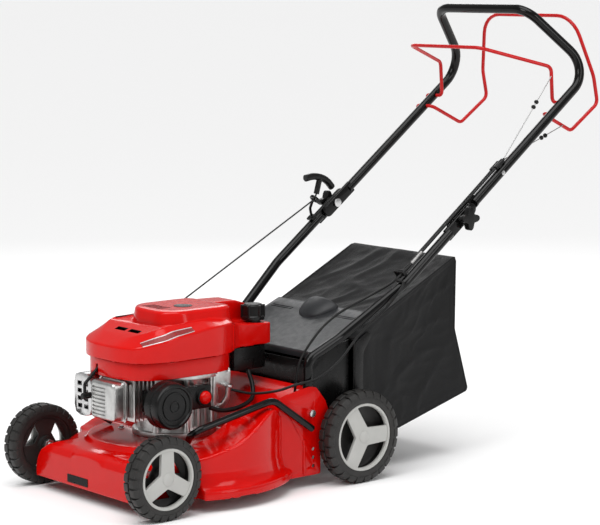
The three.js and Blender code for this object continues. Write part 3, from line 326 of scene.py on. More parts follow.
def apply_modifiers(made):
    bpy.context.view_layer.update()
    depsgraph = bpy.context.evaluated_depsgraph_get()
    mesh = bpy.data.meshes.new_from_object(made.evaluated_get(depsgraph))
    made.modifiers.clear()
    old = made.data
    made.data = mesh
    bpy.data.meshes.remove(old)


def smooth(made, angle=35):
    shade_smooth(made)
    made.data.set_sharp_from_angle(angle=math.radians(angle))


def bevel(made, width, segments=2, angle=32):
    modifier = made.modifiers.new("edge", "BEVEL")
    modifier.width = width * MM
    modifier.segments = segments
    modifier.limit_method = "ANGLE"
    modifier.angle_limit = math.radians(angle)
    modifier.use_clamp_overlap = True
    apply_modifiers(made)


def eased(made, width, segments=2, angle=32, shade=35):
    """The piece with its edges broken and its faces shaded smooth."""
    bevel(made, width, segments, angle)
    smooth(made, shade)
    return made


def shade_smooth(made):
    for polygon in made.data.polygons:
        polygon.use_smooth = True


def remove_faces(made, unwanted):
    """Opens a closed body: deletes each face for which `unwanted` is true."""
    shape = bmesh.new()
    shape.from_mesh(made.data)
    bmesh.ops.delete(shape, geom=[face for face in shape.faces if unwanted(face)], context="FACES")
    shape.to_mesh(made.data)
    shape.free()


def thicken(made, thickness):
    """Gives a skin its wall, inwards."""
    wall = made.modifiers.new("wall", "SOLIDIFY")
    wall.thickness = thickness * MM
    wall.offset = -1


def remesh(made, voxel, passes):
    """Rounds every edge: a fine even mesh, relaxed."""
    modifier = made.modifiers.new("voxel", "REMESH")
    modifier.mode = "VOXEL"
    modifier.voxel_size = voxel * MM
    relax = made.modifiers.new("relax", "SMOOTH")
    relax.factor = 0.5
    relax.iterations = passes
    apply_modifiers(made)
    shade_smooth(made)


def boolean(made, other, operation):
    modifier = made.modifiers.new("cut", "BOOLEAN")
    modifier.operation = operation
    modifier.object = other
    modifier.solver = "MANIFOLD"
    apply_modifiers(made)
    bpy.data.objects.remove(other)


def merge(name, parts):
    """One object from several."""
    shape = bmesh.new()
    materials = []
    for part in parts:
        base = len(materials)
        materials += list(part.data.materials)
        start = len(shape.faces)
        mesh = part.data.copy()
        mesh.transform(part.matrix_world)
        shape.from_mesh(mesh)
        shape.faces.ensure_lookup_table()
        for face in shape.faces[start:]:
            face.material_index += base
        bpy.data.meshes.remove(mesh)
    mesh = bpy.data.meshes.new(name)
    shape.to_mesh(mesh)
    shape.free()
    for material in materials:
        mesh.materials.append(material)
    for part in parts:
        bpy.data.objects.remove(part)
    made = bpy.data.objects.new(name, mesh)
    bpy.context.scene.collection.objects.link(made)
    return made


def paint(made, material):
    made.data.materials.clear()
    made.data.materials.append(material)
    return made


def place(made, body, slot, *nodes):
    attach(made, body)
    if nodes:
        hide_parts(*nodes)
    return made


def copy_node(node, name):
    """The CAD node's shape as a new mesh, with its flat faces whole again."""
    mesh = frame["nodes"][node].data.copy()
    mesh.name = name
    made = bpy.data.objects.new(name, mesh)
    bpy.context.scene.collection.objects.link(made)
    shape = bmesh.new()
    shape.from_mesh(mesh)
    bmesh.ops.remove_doubles(shape, verts=shape.verts, dist=0.00002)
    bmesh.ops.dissolve_limit(shape, angle_limit=math.radians(0.6), verts=shape.verts, edges=shape.edges)
    bmesh.ops.recalc_face_normals(shape, faces=shape.faces)
    shape.to_mesh(mesh)
    shape.free()
    return made


def refined(node, body, slot, material, width=0.8, segments=2, angle=32):
    """A machined or pressed piece: its CAD shape with its edges broken."""
    made = copy_node(node, node + "_fine")
    bevel(made, width, segments, angle)
    smooth(made, 40)
    paint(made, material)
    return place(made, body, slot, node)


def moulded(node, body, slot, material, voxel=1.2, passes=4):
    """A moulded or cast piece: its CAD shape with every edge rounded."""
    made = copy_node(node, node + "_fine")
    remesh(made, voxel, passes)
    paint(made, material)
    return place(made, body, slot, node)


def lathe(name, profile, axis, origin, segments=96):
    """A profile of (radius, distance along the axis) turned about X, Y or Z."""
    vertices = []
    faces = []
    count = len(profile)
    for k in range(segments):
        angle = 2 * PI * k / segments
        for radius, along in profile:
            a, b = radius * math.cos(angle), radius * math.sin(angle)
            local = {"X": (along, a, b), "Y": (b, along, a), "Z": (a, b, along)}[axis]
            vertices.append(origin + Vector(local) * MM)
    for k in range(segments):
        for i in range(count):
            j = (i + 1) % count
            m = (k + 1) % segments
            faces.append((k * count + i, k * count + j, m * count + j, m * count + i))
    made = object_from(name, vertices, faces)
    clean_normals(made)
    smooth(made, 38)
    return made


def prism(name, outline, axis, low, high):
    """An outline of (a, b) points, thick along X (a = Y, b = Z), Y (X, Z) or Z (X, Y)."""
    vertices = []
    for along in (low, high):
        for a, b in outline:
            local = {"X": (along, a, b), "Y": (a, along, b), "Z": (a, b, along)}[axis]
            vertices.append(at(*local))
    count = len(outline)
    faces = [tuple(range(count)), tuple(range(2 * count - 1, count - 1, -1))]
    for i in range(count):
        j = (i + 1) % count
        faces.append((i, j, count + j, count + i))
    made = object_from(name, vertices, faces)
    clean_normals(made)
    return made


def block(name, x0, x1, y0, y1, z0, z1):
    return prism(name, [(x0, y0), (x1, y0), (x1, y1), (x0, y1)], "Z", z0, z1)


def on_circle(a, b, radius, angle):
    """The point at an angle on a circle round (a, b)."""
    return (a + radius * math.cos(angle), b + radius * math.sin(angle))


def cylinder(name, radius, axis, low, high, a, b, sides=32):
    """A cylinder along an axis; a and b are its other two coordinates, in X, Y, Z order."""
    outline = [on_circle(a, b, radius, 2 * PI * k / sides) for k in range(sides)]
    return prism(name, outline, axis, low, high)


def bent_path(corners, bends, step=PI / 18):
    """Points along straight runs joined by round bends."""
    corners = [Vector(c) for c in corners]
    points = [corners[0]]
    for i in range(1, len(corners) - 1):
        into = (corners[i] - corners[i - 1]).normalized()
        away = (corners[i + 1] - corners[i]).normalized()
        turn = into.angle(away)
        radius = bends[i - 1] if isinstance(bends, (list, tuple)) else bends
        inward = (away - into * into.dot(away)).normalized()
        start = corners[i] - into * radius * math.tan(turn / 2)
        centre = start + inward * radius
        count = max(2, round(turn / step))
        for k in range(count + 1):
            angle = turn * k / count
            points.append(centre - inward * radius * math.cos(angle) + into * radius * math.sin(angle))
    points.append(corners[-1])
    return points


def centripetal(corners, count):
    """A smooth curve through all the points."""
    pts = [Vector(c) for c in corners]
    pts = [pts[0] * 2 - pts[1]] + pts + [pts[-1] * 2 - pts[-2]]
    out = []
    spans = len(pts) - 3
    per = max(2, round(count / spans))
    for i in range(spans):
        p0, p1, p2, p3 = pts[i : i + 4]
        t0 = 0.0
        t1 = t0 + max((p1 - p0).length, 1e-4) ** 0.5
        t2 = t1 + max((p2 - p1).length, 1e-4) ** 0.5
        t3 = t2 + max((p3 - p2).length, 1e-4) ** 0.5
        for k in range(per):
            t = t1 + (t2 - t1) * k / per
            a1 = p0 * ((t1 - t) / (t1 - t0)) + p1 * ((t - t0) / (t1 - t0))
            a2 = p1 * ((t2 - t) / (t2 - t1)) + p2 * ((t - t1) / (t2 - t1))
            a3 = p2 * ((t3 - t) / (t3 - t2)) + p3 * ((t - t2) / (t3 - t2))
            b1 = a1 * ((t2 - t) / (t2 - t0)) + a2 * ((t - t0) / (t2 - t0))
            b2 = a2 * ((t3 - t) / (t3 - t1)) + a3 * ((t - t1) / (t3 - t1))
            out.append(b1 * ((t2 - t) / (t2 - t1)) + b2 * ((t - t1) / (t2 - t1)))
    out.append(Vector(corners[-1]))
    return out


def sweep(name, points, radius, sides=20, ribs=None):
    """A round tube along points in millimetres. `ribs` is (first, last, pitch, depth) along its length."""
    points = [Vector(p) for p in points]
    lengths = [0.0]
    for a, b in zip(points, points[1:]):
        lengths.append(lengths[-1] + (b - a).length)
    if ribs:
        first, last, pitch, depth = ribs
        fine_points, fine_lengths = [points[0]], [0.0]
        for a, b, start, end in zip(points, points[1:], lengths, lengths[1:]):
            pieces = 1
            if end > first and start < last:
                pieces = max(1, round((end - start) / (pitch / 4)))
            for k in range(1, pieces + 1):
                share = k / pieces
                fine_points.append(a.lerp(b, share))
                fine_lengths.append(start + (end - start) * share)
        points, lengths = fine_points, fine_lengths
    count = len(points)
    tangents = []
    for i in range(count):
        a = points[max(i - 1, 0)]
        b = points[min(i + 1, count - 1)]
        tangents.append((b - a).normalized())
    side = tangents[0].orthogonal().normalized()
    vertices = []
    for i, (point, tangent) in enumerate(zip(points, tangents)):
        if i:
            side = (side - tangent * side.dot(tangent)).normalized()
        up = tangent.cross(side)
        size = radius
        if ribs and first < lengths[i] < last:
            size = radius - depth * (0.5 + 0.5 * math.cos(2 * PI * lengths[i] / pitch))
        for k in range(sides):
            angle = 2 * PI * k / sides
            local = point + side * size * math.cos(angle) + up * size * math.sin(angle)
            vertices.append(at(*local))
    faces = []
    for i in range(count - 1):
        for k in range(sides):
            m = (k + 1) % sides
            faces.append((i * sides + k, i * sides + m, (i + 1) * sides + m, (i + 1) * sides + k))
    faces.append(tuple(range(sides - 1, -1, -1)))
    faces.append(tuple((count - 1) * sides + k for k in range(sides)))
    made = object_from(name, vertices, faces)
    clean_normals(made)
    smooth(made, 50)
    return made


def span(side, low, high):
    return (low, high) if side > 0 else (-high, -low)


SIDES = (("left", 1), ("right", -1))


# ------------------------------------------------------------------ wheels


LUGS = 26  # blocks along each shoulder of a tyre


def tyre(name, radius, rim, x_in, y):
    """A band with blocky lugs along both shoulders, staggered, and a shallow groove between them."""
    width = WHEEL_OUT - WHEEL_IN
    core = radius - 3
    profile = [
        (rim, 0),
        (rim + 3, 0),
        (core - 6, 0.6),
        (core - 1.5, 2.5),
        (core, 6),
        (core, width - 6),
        (core - 1.5, width - 2.5),
        (core - 6, width - 0.6),
        (rim + 3, width),
        (rim, width),
        (rim, width - 3),
        (rim, 3),
    ]
    centre = at(x_in, y, radius)
    parts = [lathe(name + "_band", profile, "X", centre, 120)]
    pitch = 2 * PI / LUGS
    for shoulder in (0, 1):
        for k in range(LUGS):
            start = pitch * (k + 0.5 * shoulder)
            parts.append(lug(name, centre, radius, core, start, pitch * 0.8, shoulder, width))
    return merge(name, parts)


def lug(name, centre, radius, core, start, sweep_angle, shoulder, width):
    """One tread block, wrapped over the tyre's shoulder."""
    section = [
        (core - 9, -0.6),
        (core - 2, 0.2),
        (radius - 0.8, 3.2),
        (radius, 5.5),
        (radius, 15.5),
        (core - 1, 16.5),
        (core - 9, 8),
    ]
    steps = 4
    vertices, faces = [], []
    for i in range(steps + 1):
        angle = start + sweep_angle * i / steps
        for r, along in section:
            x = along if shoulder == 0 else width - along
            vertices.append(centre + Vector((x, r * math.cos(angle), r * math.sin(angle))) * MM)
    count = len(section)
    for i in range(steps):
        for k in range(count):
            m = (k + 1) % count
            faces.append((i * count + k, i * count + m, (i + 1) * count + m, (i + 1) * count + k))
    faces.append(tuple(range(count)))
    faces.append(tuple(steps * count + k for k in range(count - 1, -1, -1)))
    made = object_from(name + "_lug", vertices, faces)
    clean_normals(made)
    return eased(made, 0.5, 1, 40, 30)


def dish(name, radius, rim, x_in, y, windows):
    """The black wheel body inside the tyre."""
    centre = at(x_in, y, radius)
    face = [(6.3, 0), (15, 0), (16, 6), (rim - 9, 6), (rim - 4, 2), (rim + 1, 2)]
    back = [(rim + 1, 33), (rim - 2, 33), (rim - 3, 12), (rim - 10, 9), (16, 9), (15, 24), (6.3, 24)]
    made = lathe(name, face + back, "X", centre, 96)
    if windows:
        for k in range(3):
            angle = 2 * PI * k / 3 - PI / 2
            outline = []
            for r, half in ((24, 0.42), (rim - 11, 0.5)):
                for s in (-1, 1) if r == 24 else (1, -1):
                    outline.append(on_circle(y, radius, r, angle + s * half))
            boolean(made, prism("window", outline, "X", x_in - 2, x_in + 14), "DIFFERENCE")
    smooth(made, 35)
    return made


def hub_cap(name, radius, rim, x_in, y, spoke_half, first):
    """Rim ring and three wide spokes that swell towards the middle."""
    outer, inner = rim - 0.5, rim - 6.5
    corner = spoke_half / math.sin(PI / 3) * 1.12
    edge = math.asin(spoke_half / inner)
    cap = cylinder(name, outer, "X", x_in + 25.5, x_in + 32.5, y, radius, 96)
    for k in range(3):
        spoke = first + 2 * PI * k / 3
        start, end = spoke + edge, spoke + 2 * PI / 3 - edge
        steps = 18
        hole = [on_circle(y, radius, corner, spoke + PI / 3)]
        hole += [on_circle(y, radius, inner, start + (end - start) * i / steps) for i in range(steps + 1)]
        outline = rounded(hole, 3.0)
        boolean(cap, prism("hole", outline, "X", x_in + 20, x_in + 40), "DIFFERENCE")
    eased(cap, 1.1, 3, 40, 40)
    centre = at(x_in, y, radius)
    boss_profile = [(0.01, 32), (11, 32), (11.5, 33), (9.5, 34.6), (0.01, 35)]
    boss = lathe(name + "_boss", boss_profile, "X", centre, 48)
    lip = [(5.8, 28), (5.5, 34), (3.4, 34.6), (1.0, 34), (0.4, 31), (0.6, 28)]
    ring = lathe(name + "_ring", [(rim - inset, x) for inset, x in lip], "X", centre, 96)
    return merge(name, [paint(part, CAP_MOULDED) for part in (cap, boss, ring)])


def rounded(points, radius, steps=4, keep=25):
    """The outline with its corners rounded, except those that turn by less than `keep` degrees."""
    out = []
    count = len(points)
    for i, point in enumerate(points):
        corner = Vector(point)
        before = Vector(points[i - 1]) - corner
        after = Vector(points[(i + 1) % count]) - corner
        if before.length < 1e-6 or after.length < 1e-6 or before.angle(-after) < math.radians(keep):
            out.append(tuple(corner))
            continue
        reach = min(radius, before.length / 2.2, after.length / 2.2)
        start, end = corner + before.normalized() * reach, corner + after.normalized() * reach
        for k in range(steps + 1):
            t = k / steps
            out.append(tuple(start * (1 - t) ** 2 + corner * 2 * t * (1 - t) + end * t * t))
    return out


def turned_about_z(made):
    """Turns a left wheel's piece half round in place, to the right side."""
    ys = [v.co.y for v in made.data.vertices]
    made.data.transform(Matrix.Rotation(PI, 4, "Z"))
    made.data.transform(Matrix.Translation((0, min(ys) + max(ys), 0)))


def build_wheel(end, side_name, side, radius, rim, y, spoke_half, first):
    name = f"{end}_wheel_{side_name}"
    band = paint(tyre(name + "_tyre", radius, rim, WHEEL_IN, y), WHEEL_MOULDED)
    body = paint(dish(name + "_dish", radius, rim, WHEEL_IN, y, end == "front"), WHEEL_MOULDED)
    cap = hub_cap(f"{end}_hub_cap_{side_name}_fine", radius, rim, WHEEL_IN, y, spoke_half, first)
    wheel = merge(name + "_fine", [band, body])
    if side < 0:
        turned_about_z(wheel)
        turned_about_z(cap)
    place(wheel, name, "wheel_black", name)
    place(cap, name, "grey_plastic", f"{end}_hub_cap_{side_name}")


for side_name, side in SIDES:
    build_wheel("front", side_name, side, FRONT_R, FRONT_RIM, 0, 13, PI / 2)
    build_wheel("rear", side_name, side, REAR_R, REAR_RIM, WHEELBASE, 15, 0)


# ------------------------------------------------------------------ deck


# The top line of the swelling over each side of the drum, from front to back.
HAUNCH_TOP = [(79, 95), (100, 99), (121, 105), (142, 111), (162, 118), (182, 127), (201, 138), (220, 149)]
HAUNCH_TOP += [(237, 158), (250, 162), (262, 163), (280, 150), (293, 138)]


def solid_of_deck():
    """The outside of the pressed deck as one closed body."""
    foot = DECK_BOTTOM
    drum = lathe(
        "drum",
        [
            (0.01, foot),
            (FLANGE_R, foot),
            (FLANGE_R, 36),
            (FLANGE_R - 3, 39.5),
            (DRUM_R + 5, 42),
            (DRUM_R + 1, 50),
            (DRUM_R - 2, 70),
            (DRUM_R - 5, 84),
            (DRUM_R - 16, 92),
            (PLATFORM_R + 6, DECK_TOP),
            (PLATFORM_R - 1, PLATFORM_TOP),
            (0.01, PLATFORM_TOP),
        ],
        "Z",
        at(0, CRANK_Y, 0),
        144,
    )
    for _, side in SIDES:
        haunch = prism("haunch", [(79, foot)] + HAUNCH_TOP + [(293, foot)], "X", *span(side, 115, DRUM_R))
        boolean(haunch, cylinder("round", DRUM_R - 2, "Z", 0, 300, 0, CRANK_Y, 144), "INTERSECT")
        boolean(drum, haunch, "UNION")
    boolean(drum, block("front_plane", -300, 300, DECK_FRONT, 600, 0, 300), "INTERSECT")
    crown = []
    for i in range(13):
        angle = PI / 2 * i / 12
        crown.append((DECK_HALF - 75 * (1 - math.cos(angle)), 36 + (DECK_TOP - 36) * math.sin(angle)))
    outline = [(DECK_HALF, foot)] + crown + [(-x, z) for x, z in reversed(crown)] + [(-DECK_HALF, foot)]
    nose = prism("nose", outline, "Y", DECK_FRONT, 60)
    side_view = [(DECK_FRONT, foot), (DECK_FRONT, 74), (DECK_FRONT + 5, 86), (DECK_FRONT + 19, 93)]
    side_view += [(60, DECK_TOP), (60, foot)]
    boolean(nose, prism("nose_side", side_view, "X", -DECK_HALF - 1, DECK_HALF + 1), "INTERSECT")
    boolean(drum, nose, "UNION")
    roof = [(200, foot), (200, 96), (248, 104), (304, 163), (ROOF_REAR, ROOF_TOP), (ROOF_REAR, foot)]
    boolean(drum, prism("tunnel", roof, "X", -DECK_HALF, DECK_HALF), "UNION")
    wall, back = DECK_HALF, FRONT_R + 7
    well = [(wall, -80), (wall, back - 18), (wall + 4, back - 6), (wall + 16, back), (240, back), (240, -80)]
    for _, side in SIDES:
        boolean(drum, prism("well", [(side * x, y) for x, y in well], "Z", 0, 200), "DIFFERENCE")
    return drum


def build_deck():
    deck = solid_of_deck()
    remesh(deck, 2.6, 5)
    near = 2.2 * MM
    low = DECK_BOTTOM * MM + near
    rear = at(0, ROOF_REAR, 0).y - near

    def at_an_opening(face):
        centre = face.calc_center_median()
        under = centre.z < low and face.normal.z < -0.5
        in_mouth = CHUTE_FLOOR * MM < centre.z < (ROOF_TOP - 7) * MM
        return under or (centre.y > rear and face.normal.y > 0.5 and in_mouth)

    remove_faces(deck, at_an_opening)
    thicken(deck, 2.0)
    apply_modifiers(deck)
    boolean(deck, cylinder("shaft_hole", 32, "Z", 80, 130, 0, CRANK_Y), "DIFFERENCE")
    boolean(deck, block("belt_slot", -38, 38, ROOF_REAR - 10, ROOF_REAR + 10, 73, 91), "DIFFERENCE")
    smooth(deck, 50)
    parts = [paint(deck, ENAMEL)]
    for _, side in SIDES:
        parts.append(side_plate(side))
        parts.append(flange_bead(side))
    deck = merge("deck_shell_fine", parts)
    place(deck, "chassis", "deck_red", "deck_shell")


def side_plate(side):
    """The upright plate beside the chute, with the axle's hole and the height holes, and its rib."""
    outline = [(284, DECK_BOTTOM), (384, DECK_BOTTOM), (384, 62), (474, 62), (474, 114), (404, 140)]
    outline += [(396, 160), (374, 187), (ROOF_REAR - 7, ROOF_TOP + 1), (284, 178)]
    plate = prism("plate", rounded(outline, 5), "X", *span(side, DECK_HALF - 2, DECK_HALF + 0.6))
    holes = [(3.5, 367, z, 24) for z in (39, 55, 71)]
    holes += [(6.3, WHEELBASE, REAR_R, 32), (4.3, 363, 139, 24), (2.2, 323, 118, 16)]
    for radius, y, z, sides in holes:
        boolean(plate, cylinder("hole", radius, "X", -200, 200, y, z, sides), "DIFFERENCE")
    rib_outline = rounded([(341, 24), (346, 24), (346, 92), (341, 92)], 2)
    rib = prism("rib", rib_outline, "X", *span(side, DECK_HALF, DECK_HALF + 2.6))
    parts = [eased(plate, 0.6, 2, 40), eased(rib, 1.0, 2, 40)]
    return merge("plate", [paint(part, ENAMEL) for part in parts])


def flange_bead(side):
    """The rolled ridge along the top of the flange, from the wheel well to the side plate."""
    points = []
    start = math.asin((FRONT_R + 9 - CRANK_Y) / (FLANGE_R - 4))
    end = math.asin((288 - CRANK_Y) / (FLANGE_R - 4))
    for i in range(41):
        angle = start + (end - start) * i / 40
        radius = FLANGE_R - 3.2
        points.append((side * radius * math.cos(angle), CRANK_Y + radius * math.sin(angle), 37.5))
    return paint(sweep("bead", points, 2.4, 12), ENAMEL)


build_deck()

for side_name, side in SIDES:
    path = bent_path(
        [
            (side * 118, 110, PLATFORM_TOP + 7),
            (side * 168, 80, 140),
            (side * 175, 262, 178),
            (side * 173.5, 357, 112),
        ],
        [18, 30],
    )
    brace = paint(sweep(f"side_brace_{side_name}_fine", path, 6.5, 20), TUBE_PAINT)
    place(brace, "chassis", "tube_black", f"side_brace_{side_name}")

# Plain dark plate on the front apron.
apron_outline = rounded([(-60, 29), (5, 29), (5, 44), (-60, 44)], 1.5)
apron_plate = prism("apron_plate", apron_outline, "Y", DECK_FRONT - 0.9, DECK_FRONT + 0.5)
eased(apron_plate, 0.3, 1, 40)
place(paint(apron_plate, PLATE_BLACK), "chassis", "black_plastic")


# ------------------------------------------------------------------ engine


BROW_INSET = 28  # the cover's roof is flat inside this distance from its walls


def cowl_outline(inset, tail):
    """The cover's plan, drawn in by an inset, with or without its tail over the tank."""
    end = (362 if tail else 264) - inset
    half = [(40, 8 + inset), (88 - inset, 28 + inset), (106 - inset, 78), (107 - inset, 196)]
    half += [(88 - inset, 240), (58 - inset, 268 if tail else 258 - inset), (54 - inset, end)]
    return half + [(-x, y) for x, y in reversed(half)]


def loft(name, rings):
    """A closed skin over rings of the same count, in millimetres."""
    count = len(rings[0])
    vertices = [at(*point) for ring in rings for point in ring]
    faces = []
    for r in range(len(rings) - 1):
        for i in range(count):
            j = (i + 1) % count
            faces.append((r * count + i, r * count + j, (r + 1) * count + j, (r + 1) * count + i))
    faces.append(tuple(range(count - 1, -1, -1)))
    faces.append(tuple((len(rings) - 1) * count + i for i in range(count)))
    made = object_from(name, vertices, faces)
    clean_normals(made)
    return made


def clamp(value, low=0.0, high=1.0):
    return max(low, min(high, value))


def wall_top(y):
    """Height of the top of the cover's side wall."""
    return 286 + 27 * clamp((y - 20) / 130)


def brow(y):
    """Height of the cover's sloping roof."""
    return 323 - 23 * clamp((115 - y) / 79) ** 1.6


def paint_inner_shade(made, centre):
    """The inner faces of the cover, which face its middle, its downward faces near the roof and the walls of
    its slots get near-black as painted shade, where the inside of the cover lies in shadow.
    """
    made.data.materials.clear()
    made.data.materials.append(RED_MOULDED)
    made.data.materials.append(PLATE_BLACK)
    for polygon in made.data.polygons:
        to_middle = centre - polygon.center
        flat = Vector((to_middle.x, to_middle.y, 0)).normalized()
        down = polygon.normal.z < -0.55 and polygon.center.z > centre.z - 0.02
        slot_wall = abs(polygon.normal.z) < 0.5 and in_a_slot(polygon.center)
        # Near-black on these faces is painted shade, not the cover's own colour.
        polygon.material_index = 1 if polygon.normal.dot(flat) > 0.35 or down or slot_wall else 0


def in_a_slot(point):
    """Whether a point is inside one of the cooling slots in the cover's top or brow."""
    low_top, high_top = at(-38, 112, SHROUD_TOP - 4), at(26, 150, SHROUD_TOP - 0.3)
    low_brow, high_brow = at(-30, 50, 300), at(50, 66, 330)
    boxes = ((low_top, high_top), (low_brow, high_brow))
    return any(all(low[k] < point[k] < high[k] for k in range(3)) for low, high in boxes)


def build_shroud():
    foot = BLOWER_TOP

    def layer(shrink, height):
        return [(x, y, height(y)) for x, y in rounded(cowl_outline(shrink, False), 24, 8, keep=0)]

    body = loft("body", [layer(0, lambda y: foot), layer(0, wall_top), layer(BROW_INSET, brow)])
    tail_side = [(200, foot), (200, 313), (264, 306), (304, 300), (362, 297), (362, foot)]
    tail = prism("tail", tail_side, "X", -80, 80)
    tail_plan = rounded(cowl_outline(0, True), 16, 6)
    boolean(tail, prism("tail_plan", tail_plan, "Z", foot - 1, SHROUD_TOP), "INTERSECT")
    boolean(body, tail, "UNION")

    def island_ring(grow, z):
        side = 68 + grow
        front, back = 106 - grow, 256 + grow
        plan = [(-36, front), (44, front), (side, 130), (side, 228)]
        plan += [(58, back), (-58, back), (-side, 228), (-side, 136)]
        return [(x, y, z) for x, y in rounded(plan, 26, 8, keep=0)]

    rings = [(9, 300), (6, 322), (2, SHROUD_TOP - 4)]
    rings += [(-3, SHROUD_TOP - 0.6), (-8, SHROUD_TOP - 0.6), (-10, SHROUD_TOP)]
    island = loft("island", [island_ring(grow, z) for grow, z in rings])
    boolean(body, island, "UNION")
    hump = [(220, 300), (220, SHROUD_TOP - 1), (312, SHROUD_TOP - 4), (356, 323), (356, 290), (300, 290)]
    boolean(body, prism("hump", hump, "X", -52, 4), "UNION")
    boolean(body, cylinder("cap_seat", 25, "Z", 302.5, 360, 30, TANK_Y), "DIFFERENCE")
    remesh(body, 1.7, 5)
    low = (foot + 1.5) * MM
    remove_faces(body, lambda face: face.calc_center_median().z < low and face.normal.z < -0.5)
    thicken(body, 2.4)
    apply_modifiers(body)
    for k in range(5):
        x = -32 + 11 * k
        slot = rounded([(x, 118), (x + 6, 118), (x + 10, 147), (x + 4, 147)], 2.5)
        boolean(body, prism("vent", slot, "Z", SHROUD_TOP - 8, SHROUD_TOP + 8), "DIFFERENCE")
    for x0, x1 in ((-26, 5), (14, 46)):
        boolean(body, block("intake", x0, x1, 53, 63, 290, 330), "DIFFERENCE")
    boolean(body, cylinder("filler", 16, "Z", 280, 340, 30, TANK_Y), "DIFFERENCE")
    boolean(body, cylinder("rope_hole", 5, "X", -90, -60, 208, 314, 24), "DIFFERENCE")
    smooth(body, 50)
    body.name = "engine_shroud_fine"
    # The cover's inside and its slot walls are painted near-black as painted shade.
    paint_inner_shade(body, at(0, CRANK_Y, 300))
    place(body, "chassis", "cover_red", "engine_shroud")


build_shroud()


def strip_along_shroud():
    """A slanted film strip on the left flank, plain silver with darker bars."""
    parts = []
    rows = 14
    lanes = ((0.04, 0.11, DECAL), (0.13, 0.44, DECAL_DARK), (0.46, 0.53, DECAL))
    for lane, (low, high, material) in enumerate(lanes):
        vertices, faces = [], []
        for i in range(rows + 1):
            y = 34 + 104 * i / rows
            outer = Vector((86 + 20 * clamp((y - 30) / 45) ** 0.8, y, wall_top(y)))
            inner = Vector((outer.x - BROW_INSET, y + 6, brow(y)))
            for share in (low, high):
                point = outer.lerp(inner, share)
                vertices.append(at(point.x, point.y, point.z + 0.9))
        for i in range(rows):
            faces.append((2 * i, 2 * i + 1, 2 * i + 3, 2 * i + 2))
        strip = object_from(f"lane_{lane}", vertices, faces)
        parts.append(paint(strip, material))
    made = merge("flank_strip", parts)
    wrap = made.modifiers.new("wrap", "SHRINKWRAP")
    wrap.target = bpy.data.objects["engine_shroud_fine"]
    wrap.offset = 0.35 * MM
    wrap.wrap_method = "NEAREST_SURFACEPOINT"
    apply_modifiers(made)
    clean_normals(made)
    return place(made, "chassis", "grey_plastic")


strip_along_shroud()

badge_profile = [(0.01, 0), (17, 0), (17.6, 0.6), (17, 1.2), (14, 1.5), (13, 1.0), (0.01, 1.0)]
badge = lathe("starter_badge", badge_profile, "Z", at(16, 178, SHROUD_TOP - 0.5), 64)
place(paint(badge, PLATE_BLACK), "chassis", "black_plastic")

refined("blower_housing", "chassis", "cover_red", RED_MOULDED, 1.6, 3)
refined("muffler_guard", "chassis", "zinc", ZINC, 1.0, 2)
refined("muffler", "chassis", "steel", STEEL, 2.0, 3)
refined("carburettor", "chassis", "black_plastic", BLACK_MOULDED, 1.6, 3)
moulded("spark_plug", "chassis", "rubber", RUBBER, 0.9, 3)
refined("fuel_tank", "chassis", "black_plastic", BLACK_MOULDED, 3.0, 3)
refined("fuel_cap", "fuel_cap", "black_plastic", BLACK_MOULDED, 1.0, 2)
refined("recoil_reel", "recoil_reel", "black_plastic", BLACK_MOULDED, 0.6, 2)
refined("brake_lever", "brake_lever", "steel", ZINC, 0.5, 2)


BOSS_ANGLES = (-62, -20, 22, 64, 115, 160, 205)


def build_crankcase():
    """The CAD casting with bolt bosses round it, ribs between them and the bracket behind the primer."""
    parts = [eased(copy_node("crankcase", "core"), 1.0, shade=40)]
    boss = [(0.01, 0), (7, 0), (5.2, 12), (5.2, 92), (6.6, 104), (0.01, 104)]
    for angle in BOSS_ANGLES:
        x, y = on_circle(0, CRANK_Y, 79, math.radians(angle))
        parts.append(lathe("boss", boss, "Z", at(x, y, 118), 24))
    for angle in range(-40, 80, 12):
        a = math.radians(angle)
        x, y = on_circle(0, CRANK_Y, 76, a)
        rib = block("rib", -5, 5, -1.2, 1.2, 126, 205)
        rib.data.transform(Matrix.Translation(-at(0, 0, 0)))
        rib.data.transform(Matrix.Rotation(a, 4, "Z"))
        rib.data.transform(Matrix.Translation(at(x, y, 0)))
        bevel(rib, 0.6, 2)
        parts.append(rib)
    outline = rounded([(196, 150), (214, 146), (234, 168), (238, 222), (228, 232), (198, 232)], 5)
    window = rounded([(204, 166), (216, 164), (227, 178), (228, 196), (204, 196)], 3)
    bracket = prism("bracket", outline, "X", 78, 82)
    boolean(bracket, prism("window", window, "X", 70, 90), "DIFFERENCE")
    parts.append(eased(bracket, 0.8))
    case = merge("crankcase_fine", [paint(part, CAST) for part in parts])
    place(case, "chassis", "cast_aluminium", "crankcase")


def build_valve_cover():
    """A deep cast box with louvres across the left of its face, on a flange."""
    body = prism("body", rounded([(-22, 152), (52, 152), (52, 222), (-22, 222)], 10), "Y", -6, 21)
    bevel(body, 6, 5, 40)
    for k in range(8):
        boolean(body, block("louvre", -14, 26, -8, -2.5, 160 + 7 * k, 163.4 + 7 * k), "DIFFERENCE")
    eased(body, 0.5, 2, 50, 40)
    flange = prism("flange", rounded([(-24, 150), (54, 150), (54, 224), (-24, 224)], 8), "Y", 19.5, 24)
    eased(flange, 0.8, 2, 40)
    cover = merge("valve_cover_fine", [paint(body, CAST), paint(flange, CAST)])
    place(cover, "chassis", "cast_aluminium", "valve_cover")


